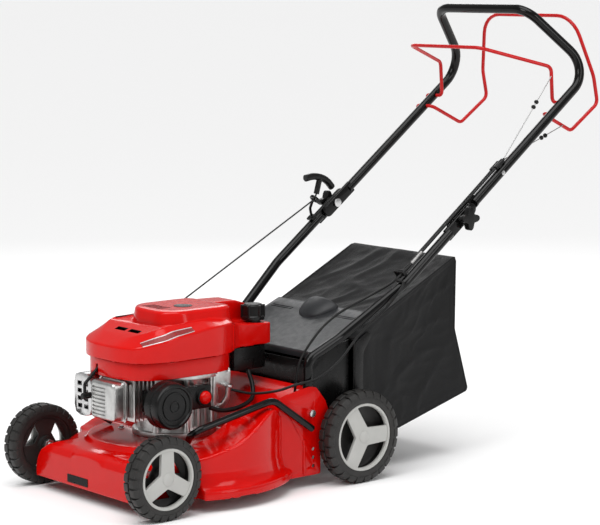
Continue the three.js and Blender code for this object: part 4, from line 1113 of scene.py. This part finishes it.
def bolt_head(x, y, z, axis, radius=4.2, height=4.0, way=1):
    """A hexagon head on a washer, standing off along the axis, or against it where `way` is -1."""
    centre = at(x, y, z)
    rim = radius * 1.5
    disc = [(0.01, 0), (rim, 0), (rim, 0.8), (0.01, 0.8)]
    crown = height + 0.6
    hexagon = [(0.01, 0.8), (radius, 0.8), (radius, height), (radius * 0.8, crown), (0.01, crown)]
    washer = lathe("washer", [(r, way * d) for r, d in disc], axis, centre, 32)
    head = lathe("head", [(r, way * d) for r, d in hexagon], axis, centre, 6)
    for polygon in head.data.polygons:
        polygon.use_smooth = False
    return [paint(washer, ZINC), paint(head, ZINC)]


def engine_bolts():
    parts = []
    for x in (-20, 50):
        for z in (154, 220):
            parts += bolt_head(x, 19.5, z, "Y", 3.2, 3.0, -1)
    for y, z in ((204, 156), (230, 224), (205, 224)):
        parts += bolt_head(82, y, z, "X", 3.6, 3.5)
    for angle in (-55, 8, 70, 150, 215):
        parts += bolt_head(*on_circle(0, CRANK_Y, 104, math.radians(angle)), PLATFORM_TOP, "Z")
    return place(merge("engine_bolts", parts), "chassis", "zinc")


build_crankcase()
build_valve_cover()
engine_bolts()


def build_filter():
    """A round cover with plain raised rings on its face."""
    hub = [(0.01, 34), (8, 34), (8.6, 35.6), (10.4, 35.6), (11, 34), (24, 33.4), (24.6, 35.4), (26.4, 35.4)]
    face = [(27, 33.4), (33, 33.4), (34.5, 35.6), (37, 36), (39.5, 35), (41.2, 32.5), (42, 29)]
    flank = [(42.2, 20), (41.2, 19), (41.2, 16.5), (42.4, 15.5), (43, 12), (43, 0)]
    inside = [(40, 0), (39, 30), (0.01, 30)]
    cover = lathe("air_filter_cover_fine", hub + face + flank + inside, "X", at(105, 66, 185), 96)
    place(paint(cover, BLACK_MOULDED), "chassis", "black_plastic", "air_filter_cover")


build_filter()

bulb = [(0.01, 0), (12.4, 0), (12.4, 2.5), (11.6, 5.5), (9.5, 8.4), (6, 10.2), (3, 10.8), (0.01, 11)]
primer = lathe("primer_bulb_fine", bulb, "X", at(109.5, 155, 187), 64)
place(paint(primer, RED_MOULDED), "primer_bulb", "cover_red", "primer_bulb")


hose_route = [(100, 174.5, 164), (102, 200, 156), (100, 240, 156)]
hose_route += [(86, 284, 166), (68, 300, 186), (50, 304, 210.7)]
hose_path = centripetal(hose_route, 40)
hose = paint(sweep("breather_hose_fine", hose_path, 4.2, 18), RUBBER)
place(hose, "chassis", "rubber", "breather_hose")

for node in ("crankshaft", "flywheel", "blade_adapter", "blade", "blade_bolt"):
    refined(node, "crank", "steel", STEEL, 0.5, 2)
refined("gearbox_pulley", "gearbox_pulley", "steel", STEEL, 0.6, 2)
refined("gearbox_housing", "chassis", "cast_aluminium", CAST, 1.6, 3)
refined("clutch_lever", "clutch_lever", "steel", ZINC, 0.5, 2)
refined("drive_belt", "chassis", "rubber", RUBBER, 0.6, 2)
refined("rear_axle", "rear_axle", "steel", STEEL, 0.6, 2)
for side_name, side in SIDES:
    refined(f"front_axle_{side_name}", "chassis", "steel", STEEL, 0.6, 2)


# ------------------------------------------------------------------ handle

ALONG = Vector((0, math.cos(HANDLE_ANGLE), math.sin(HANDLE_ANGLE)))
ACROSS = Vector((0, -math.sin(HANDLE_ANGLE), math.cos(HANDLE_ANGLE)))


def on_handle(x, s, n=0):
    """A point s up the handle from its pivot and n above the tube, in millimetres."""
    return Vector((x, PIVOT_Y, PIVOT_Z)) + ALONG * s + ACROSS * n


def pressed_end(name, side, low, high, nose, root):
    """The flattened end of a tube, from its root to its round nose, with soft edges."""
    x0, x1 = span(side, low, high)
    way = 1 if root > nose else -1
    half = 12.5 * way
    centre = nose + half
    steps = 12
    outline = [(root, half), (centre, half)]
    for k in range(1, steps):
        turn = PI * k / steps
        outline.append((centre - half * math.sin(turn), half * math.cos(turn)))
    outline += [(centre, -half), (root, -half)]
    vertices = [at(*on_handle(x, s, n)) for x in (x0, x1) for s, n in outline]
    count = len(outline)
    faces = [tuple(range(count)), tuple(range(2 * count - 1, count - 1, -1))]
    faces += [(i, (i + 1) % count, count + (i + 1) % count, count + i) for i in range(count)]
    made = object_from(name, vertices, faces)
    clean_normals(made)
    return paint(eased(made, 2.2, 3, 40, 40), TUBE_PAINT)


FLAT_PLANE = (UPPER_X + LOWER_X) / 2 - 1.5  # where the flat ends of the upper and lower tube meet


def build_upper_tube():
    path = bent_path(
        [
            on_handle(UPPER_X, 44),
            (UPPER_X, 1087, 755.2),
            (128, BAR_Y, BAR_Z),
            (-128, BAR_Y, BAR_Z),
            (-UPPER_X, 1087, 755.2),
            on_handle(-UPPER_X, 44),
        ],
        [52, 44, 44, 52],
    )
    parts = [paint(sweep("tube", path, TUBE_R, 32), TUBE_PAINT)]
    for _, side in SIDES:
        parts.append(pressed_end("flat", side, FLAT_PLANE - 8.25, FLAT_PLANE - 0.25, -38, 54))
    place(merge("upper_tube_fine", parts), "upper_handle", "tube_black", "upper_tube")


build_upper_tube()

for side_name, side in SIDES:
    path = bent_path(
        [
            on_handle(side * LOWER_X, -44),
            (side * LOWER_X, 575, 368),
            (side * 156, 440, 272),
            (side * 153, 363.5, 238),
            (side * 153, 363, 126),
        ],
        [60, 60, 24],
    )
    tube = paint(sweep("tube", path, TUBE_R, 32), TUBE_PAINT)
    flat = pressed_end("flat", side, FLAT_PLANE + 0.25, FLAT_PLANE + 8.25, 38, -54)
    lower_tube = f"lower_tube_{side_name}"
    place(merge(lower_tube + "_fine", [tube, flat]), "chassis", "tube_black", lower_tube)
    refined(f"knob_{side_name}", f"knob_{side_name}", "black_plastic", BLACK_MOULDED, 1.4, 3, 40)
    refined(f"pivot_bolt_{side_name}", "upper_handle", "zinc", ZINC, 0.8, 2)
    refined(f"foot_bolt_{side_name}", "chassis", "zinc", ZINC, 0.8, 2)


def bail_path(pivot, half, bends):
    right = [(-x, y, z) for x, y, z in reversed(half)]
    corners = [(UPPER_X + 5, *pivot)] + half + right + [(-206, *pivot), (-206, pivot[0] + 3, pivot[1] - 16)]
    return bent_path(corners, list(bends) + list(reversed(bends)) + [6], PI / 14)


brake = bail_path(BRAKE_PIVOT, [(BAIL_X, *BRAKE_PIVOT), (BAIL_X, 998, 763), (100, 855, 803)], [10, 14, 22])
drive_corners = [(BAIL_X, *DRIVE_PIVOT), (BAIL_X, 1058.5, 632), (BAIL_X, 1137, 685)]
drive_corners += [(BAIL_X, 1124, 741), (126, 1095, 863)]
drive = bail_path(DRIVE_PIVOT, drive_corners, [10, 14, 16, 60, 56])
for bail, bail_run in (("brake_bail", brake), ("drive_bail", drive)):
    place(paint(sweep(bail + "_fine", bail_run, BAIL_R, 18), BAIL_PAINT), bail, "bail_red", bail)


# ------------------------------------------------------------------ cables

BRAKE_RUN = (186, 15.5)
DRIVE_RUN = (170, 8)
HOLDER_S = 150
SHEATH_R = 2.5


def along_run(run, s):
    return on_handle(run[0], s, run[1])


def bead(name, point, direction):
    """A crimped bead on a bare wire."""
    arc = [(4.8 * math.sin(PI * k / 8), -4.2 * math.cos(PI * k / 8)) for k in range(1, 8)]
    ring = lathe(name, [(0.5, -4)] + arc + [(0.5, 4)], "Z", Vector((0, 0, 0)), 24)
    turn = direction.to_track_quat("Z", "Y").to_matrix().to_4x4()
    ring.data.transform(turn)
    ring.data.transform(Matrix.Translation(at(*point)))
    return paint(ring, BLACK_MOULDED)


WIRE_STEPS = 20  # the wire is divided along its length into this many pieces


def build_cable(name, run, wire_end, beads, route, ribs, sleeve=()):
    start = along_run(run, HOLDER_S + 4)
    end = Vector(wire_end)
    run_out = [start.lerp(end, k / WIRE_STEPS) for k in range(WIRE_STEPS + 1)]
    bare = [paint(sweep("wire", run_out, 1.1, 10), STEEL)]
    for share in beads:
        bare.append(bead("bead", start.lerp(end, share), (end - start).normalized()))
    wire = merge(name + "_wire", bare)
    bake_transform(wire)
    path = centripetal(route, 110)
    parts = [paint(sweep("sheath", path, SHEATH_R, 12, ribs), RUBBER)]
    if sleeve:
        ends = [along_run(run, s) for s in sleeve]
        parts.append(paint(sweep("sleeve", ends, 3.4, 18), CAST_DARK))
    made = merge(name + "_fine", parts)
    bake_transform(made)
    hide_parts(name)


def build_cable_holder():
    """Two short sleeves for the sheaths on a strap that a bolt holds to the tube."""
    parts = []
    for run in (BRAKE_RUN, DRIVE_RUN):
        barrel = [along_run(run, s) for s in (HOLDER_S - 21, HOLDER_S - 19, HOLDER_S + 1, HOLDER_S + 3)]
        parts.append(sweep("barrel", barrel, 4.9, 24))
    strap = []
    brake_x, drive_x = BRAKE_RUN[0], DRIVE_RUN[0]
    section = [(drive_x, 4.5), (drive_x, 12), (brake_x, 17), (brake_x + 4, 10.2), (176, 9.9)]
    for s in (HOLDER_S - 14, HOLDER_S - 4):
        strap += [at(*on_handle(x, s, n)) for x, n in section]
    faces = [(0, 1, 2, 3, 4), (9, 8, 7, 6, 5)]
    faces += [(i, i + 5, (i + 1) % 5 + 5, (i + 1) % 5) for i in range(5)]
    web = object_from("web", strap, faces)
    clean_normals(web)
    parts.append(eased(web, 0.8))
    bolt = bolt_head(*on_handle(UPPER_X + TUBE_R - 0.6, HOLDER_S - 16), "X", 3.0, 2.6)
    made = merge("cable_holder_fine", [paint(part, BLACK_MOULDED) for part in parts] + bolt)
    place(made, "upper_handle", "black_plastic", "cable_holder")


ALONG_TUBE = [HOLDER_S + 8, HOLDER_S - 30, 20, -60, -170, -198]
build_cable(
    "brake_cable",
    BRAKE_RUN,
    (164.3, 994, 744),
    (0.63, 0.69),
    [along_run(BRAKE_RUN, s) for s in ALONG_TUBE]
    + [
        (200, 560, 370),
        (203, 546, 354),
        (190, 520, 319),
        (176, 480, 285),
        (171, 425, 232),
        (171, 372, 205),
        (159, 330, 196),
        (146, 294, 187),
        (126, 250, 185),
        (110, 216, 194),
    ],
    (40, 150, 5, 0.5),
    (-151, -118),
)
build_cable(
    "drive_cable",
    DRIVE_RUN,
    (164.4, 1030, 644.5),
    (0.66, 0.72),
    [along_run(DRIVE_RUN, s) for s in ALONG_TUBE]
    + [
        (152, 520, 344),
        (146, 440, 314),
        (145, 392, 282),
        (144.5, 350, 232),
        (143, 342, 190),
        (136, 346, 160),
        (128, 361, 143),
        (126, 368, 128),
        (110, 388, 120),
        (77, 427, 120.5),
    ],
    (40, 150, 5, 0.5),
)
build_cable_holder()
moulded("cable_clip", "chassis", "black_plastic", BLACK_MOULDED, 0.7, 2)


# ------------------------------------------------------------------ recoil starter

GUIDE = Vector((-165, 652, 494))
GRIP_FOOT = GUIDE + Vector((0, 4, 10))
ROPE_R = 1.6
rope_path = bent_path([(-52, 180, 288), (-77, 208, 314), GUIDE, GUIDE.lerp(GRIP_FOOT, 1.3)], [10, 8])
rope = paint(sweep("starter_rope_fine", rope_path, ROPE_R, 12), ROPE)
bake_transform(rope)
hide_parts("starter_rope")
moulded("rope_guide", "chassis", "tube_black", TUBE_PAINT, 0.9, 2)
moulded("starter_grip", "starter_grip", "black_plastic", BLACK_MOULDED, 1.0, 4)


# ------------------------------------------------------------------ chute and flap

refined("discharge_chute", "chassis", "black_plastic", BLACK_MOULDED, 0.6, 2)
refined("flap_hinge_rod", "chassis", "steel", STEEL, 0.4, 2)


def build_flap():
    slope = math.atan2(FLAP_REAR_Z - HINGE_Z - 6, FLAP_REAR_Y - HINGE_Y)
    front = Vector((HINGE_Y - 7, HINGE_Z + 6))
    rear = Vector((FLAP_REAR_Y, FLAP_REAR_Z))
    down = Vector((math.sin(slope), -math.cos(slope)))
    section = [
        (HINGE_Y - 7, HINGE_Z - 6),
        tuple(front),
        tuple(rear),
        tuple(rear + down * 3),
        (HINGE_Y - 4.2, HINGE_Z + 3.6),
        (HINGE_Y - 4.5, HINGE_Z - 6),
    ]
    panel = prism("panel", rounded(section, 5.4, 8), "X", -FLAP_HALF, FLAP_HALF)
    for _, side in SIDES:
        cheek = [tuple(front), tuple(rear), tuple(rear + down * 11)]
        cheek += [(HINGE_Y + 8, HINGE_Z - 4), (HINGE_Y, HINGE_Z - 7), (HINGE_Y - 7, HINGE_Z - 6)]
        wall = prism("cheek", rounded(cheek, 5.4, 8), "X", *span(side, FLAP_HALF - 3, FLAP_HALF))
        boolean(panel, wall, "UNION")
    for reach in (28, 33):
        centre = rear - Vector((math.cos(slope), math.sin(slope))) * reach
        for side in (1, -1):
            x0, x1 = span(side, 60, 124)
            groove = block("groove", x0, x1, centre.x - 1.1, centre.x + 1.1, centre.y - 1.2, centre.y + 4)
            boolean(panel, groove, "DIFFERENCE")
    parts = [paint(eased(panel, 0.9, 2, 35), FLAP_MOULDED), flap_dome(slope)]
    place(merge("rear_flap_fine", parts), "rear_flap", "dark_plastic", "rear_flap")


def flap_dome(slope):
    """Half dome at the rear edge, open underneath for the fingers."""
    half, length, height = 46, 52, 19
    vertices, faces = [], []
    rows, columns = 14, 28
    for i in range(rows + 1):
        share = i / rows
        size = math.sqrt(max(0.0, 1 - (share * 0.999) ** 2))
        for k in range(columns + 1):
            angle = PI * k / columns
            across, up = on_circle(0, 0, size, angle)
            local = Vector((half * across, -length * share, height * up - 0.8))
            turned = Matrix.Rotation(slope, 3, "X") @ local
            vertices.append(at(turned.x, FLAP_REAR_Y + turned.y - 0.4, FLAP_REAR_Z + turned.z - 0.6))
    for i in range(rows):
        for k in range(columns):
            a = i * (columns + 1) + k
            faces.append((a, a + 1, a + columns + 2, a + columns + 1))
    faces.append(tuple(range(columns, -1, -1)))
    made = object_from("dome", vertices, faces)
    clean_normals(made)
    return paint(eased(made, 1.2, 2, 60, 40), FLAP_MOULDED)


build_flap()


# ------------------------------------------------------------------ grass bag

BAG_SIDE = [(BAG_FRONT, 114), (BAG_FRONT, 264), (546, 300), (747, 400)]
BAG_SIDE += [(745, 256), (783, 130), (598, 79), (520, 86)]


def subdivided(points, pitch):
    """A closed outline with points about every `pitch`, and the share along each edge."""
    out = []
    for i, start in enumerate(points):
        a, b = Vector(start), Vector(points[(i + 1) % len(points)])
        pieces = max(1, round((b - a).length / pitch))
        for k in range(pieces):
            share = k / pieces
            out.append((a.lerp(b, share), i, share))
    return out


# How far each edge of the outline bows: inwards is negative. The first edge is the open mouth.
BOW = {1: -4, 2: -7, 3: -10, 4: -8, 5: -7, 6: -3, 7: -2}
HEM = 17
HEM_RISE = 0.9


def creases(a, b, seed):
    """Sharp folds in millimetres where a noise field crosses zero; a and b are metres on the cloth."""
    lean_a, lean_b = 0.8 * a + 0.6 * b, -0.6 * a + 0.8 * b
    broad = noise.noise(Vector((lean_a * 7, lean_b * 16, seed)))
    fine = noise.noise(Vector((lean_a * 20 + 3, lean_b * 34, seed + 5)))
    return 5.0 * (1 - abs(broad)) ** 7 + 2.4 * (1 - abs(fine)) ** 5


def band_columns():
    """Places across the bag, from -1 to 1, close together at the two hems."""
    inner = 1 - HEM / BAG_HALF
    middle_part = [-inner + 2 * inner * i / 40 for i in range(41)]
    edge = [inner + 0.008, inner + (1 - inner) / 2, 1 - 0.01, 1]
    return [-e for e in reversed(edge)] + middle_part + edge


def band_point(across, edge, share, point):
    """A point on the strip of cloth that wraps round the bag."""
    a, b = Vector(BAG_SIDE[edge]), Vector(BAG_SIDE[(edge + 1) % len(BAG_SIDE)])
    normal = Vector((-(b - a).y, (b - a).x)).normalized()
    arch = 4 * share * (1 - share)
    open_part = 1 - across**6
    offset = BOW[edge] * arch * (1 - across**4)
    run = (edge + share) * 0.2
    offset += (creases(across * BAG_HALF * MM, run, 2.0) - 2.4) * open_part * min(1, arch * 3)
    by_rear_fold = edge in (2, 3) and abs(share - (1 if edge == 2 else 0)) < 0.1
    in_hem = abs(across) > 1 - HEM / BAG_HALF or by_rear_fold
    offset += HEM_RISE if in_hem else 0
    place_2d = point + normal * offset
    return at(across * (BAG_HALF - 2), place_2d.x, place_2d.y)


def build_bag():
    """The band that wraps round the bag and its two side panels, sagging between the hems."""
    rim = [item for item in subdivided(BAG_SIDE, 7) if item[1] != 0]
    columns = band_columns()
    rows = len(rim)
    vertices = [band_point(across, edge, share, point) for across in columns for point, edge, share in rim]
    faces = []
    for c in range(len(columns) - 1):
        for r in range(rows - 1):
            a = c * rows + r
            faces.append((a, a + 1, a + rows + 1, a + rows))
    band = object_from("band", vertices, faces)
    left = side_panel(1, vertices[-rows:])
    right = side_panel(-1, vertices[:rows])
    skin = merge("skin", [band, left, right])
    clean_normals(skin)
    skin.modifiers.new("round", "SUBSURF").levels = 1
    thicken(skin, 1.6)
    apply_modifiers(skin)
    shade_smooth(skin)
    parts = [paint(skin, CLOTH)]
    for side in (-1, 1):
        hem = [(side * (BAG_HALF - 2.4), y, z) for y, z in BAG_SIDE[1:] + [BAG_SIDE[0]]]
        parts.append(paint(sweep("piping", bent_path(hem, 7), 2.2, 10), CLOTH))
    x, low, high = BAG_HALF - 3, BAG_SIDE[0][1] + 3, BAG_SIDE[1][1] - 2
    corners = [(0, low), (x, low), (x, high), (-x, high), (-x, low), (0, low)]
    mouth = bent_path([(a, BAG_FRONT + 2, b) for a, b in corners], 8)
    parts.append(paint(sweep("mouth_frame", mouth, 3, 12), BLACK_MOULDED))
    for side in (-1, 1):
        parts.append(frame_clip(side))
    place(merge("grass_bag_fine", parts), "grass_bag", "bag_fabric", "grass_bag")


def frame_clip(side):
    """The moulded strip that clips the cloth's side to the wire of its mouth."""
    reach = [(1, 128), (20, 140), (22, 236), (44, 268), (34, 276), (1, 256)]
    outline = rounded([(BAG_FRONT + y, z) for y, z in reach], 6)
    clip = prism("clip", outline, "X", *span(side, BAG_HALF - 4, BAG_HALF + 1.2))
    return paint(eased(clip, 1.0, 2, 40), BLACK_MOULDED)


def side_panel(side, border):
    """A side of the bag: rings that shrink towards its middle, drawn in between the hems."""
    centre = at(side * (BAG_HALF - 2), 650, 232)
    shares = [0, 0.015, 0.05, 0.092, 0.102] + [0.102 + 0.888 * k / 22 for k in range(1, 23)]
    points, faces = [], []
    count = len(border)
    for share in shares:
        for point in border:
            base = point.lerp(centre, share)
            depth = 11 * math.sin(PI / 2 * share) ** 1.1
            depth += (3.5 - creases(base.y, base.z, side * 4.0)) * clamp(share * 7)
            depth -= HEM_RISE if 0.01 < share < 0.095 else 0
            points.append(Vector((centre.x - side * depth * MM, base.y, base.z)))
    for k in range(len(shares) - 1):
        for i in range(count):
            j = (i + 1) % count
            faces.append((k * count + i, k * count + j, (k + 1) * count + j, (k + 1) * count + i))
    faces.append(tuple((len(shares) - 1) * count + i for i in range(count)))
    return object_from("panel", points, faces)


build_bag()


# ------------------------------------------------------------------ nodes that keep their CAD shape

MATERIAL_OF_SLOT = {
    "deck_red": ENAMEL,
    "cover_red": RED_MOULDED,
    "tube_black": TUBE_PAINT,
    "bail_red": BAIL_PAINT,
    "black_plastic": BLACK_MOULDED,
    "dark_plastic": FLAP_MOULDED,
    "grey_plastic": CAP_MOULDED,
    "wheel_black": WHEEL_MOULDED,
    "rubber": RUBBER,
    "cast_aluminium": CAST,
    "steel": STEEL,
    "zinc": ZINC,
    "bag_fabric": CLOTH,
}
for part in frame["record"]["subparts"]:
    node = frame["nodes"][part["node"]]
    node.data.materials.clear()
    node.data.materials.append(MATERIAL_OF_SLOT[part["material_slot"]])


# ------------------------------------------------------------------ floor, lights and camera

CAMERA_AZIMUTH = math.radians(49.879)
CAMERA_ELEVATION = math.radians(7.541)
CAMERA_PLACE = at(3207.3, -2229.1, 950.7)
LENS = 131.4

FLOOR_HALF = 400  # metres, so that its edge is never seen
floor_corners = [(x * FLOOR_HALF, y * FLOOR_HALF, 0) for x, y in ((-1, -1), (1, -1), (1, 1), (-1, 1))]
floor = object_from("floor", floor_corners, [(0, 1, 2, 3)])
floor.location.z = -0.0002
pale, _, _, pale_shader = new_material("studio_floor")
pale_shader.inputs["Base Color"].default_value = (0.95, 0.95, 0.95, 1)
pale_shader.inputs["Roughness"].default_value = 0.7
paint(floor, pale)

bpy.context.scene.view_settings.view_transform = "Standard"
world = bpy.data.worlds.new("studio")
world.use_nodes = True
world.node_tree.nodes["Background"].inputs[0].default_value = (1, 1, 1, 1)
world.node_tree.nodes["Background"].inputs[1].default_value = 0.38
bpy.context.scene.world = world


def area_light(name, size, power, position, target):
    data = bpy.data.lights.new(name, "AREA")
    data.shape = "RECTANGLE"
    data.size, data.size_y = size
    data.energy = power
    light = bpy.data.objects.new(name, data)
    bpy.context.scene.collection.objects.link(light)
    light.location = position
    light.rotation_euler = (Vector(target) - Vector(position)).to_track_quat("-Z", "Y").to_euler()


sun_data = bpy.data.lights.new("sky", "SUN")
sun_data.energy = 2.0
sun_data.angle = math.radians(50)
sun = bpy.data.objects.new("sky", sun_data)
bpy.context.scene.collection.objects.link(sun)
sun.rotation_euler = (math.radians(12), math.radians(10), 0)
area_light("key", (1.2, 1.2), 26, (0.6, -2.6, 2.4), (0, 0, 0.3))
area_light("side", (0.9, 1.8), 18, (2.8, 0.6, 1.6), (0, 0, 0.3))
area_light("back", (1.6, 1.0), 16, (-2.2, 1.6, 1.8), (0, 0, 0.4))

camera_data = bpy.data.cameras.new("camera")
camera_data.lens = LENS
camera_data.sensor_width = 36
camera_data.clip_end = 2000
camera = bpy.data.objects.new("camera", camera_data)
bpy.context.scene.collection.objects.link(camera)
camera.location = CAMERA_PLACE
back = Vector(
    (
        math.sin(CAMERA_AZIMUTH) * math.cos(CAMERA_ELEVATION),
        -math.cos(CAMERA_AZIMUTH) * math.cos(CAMERA_ELEVATION),
        math.sin(CAMERA_ELEVATION),
    )
)
camera.rotation_euler = (-back).to_track_quat("-Z", "Y").to_euler()
bpy.context.scene.camera = camera
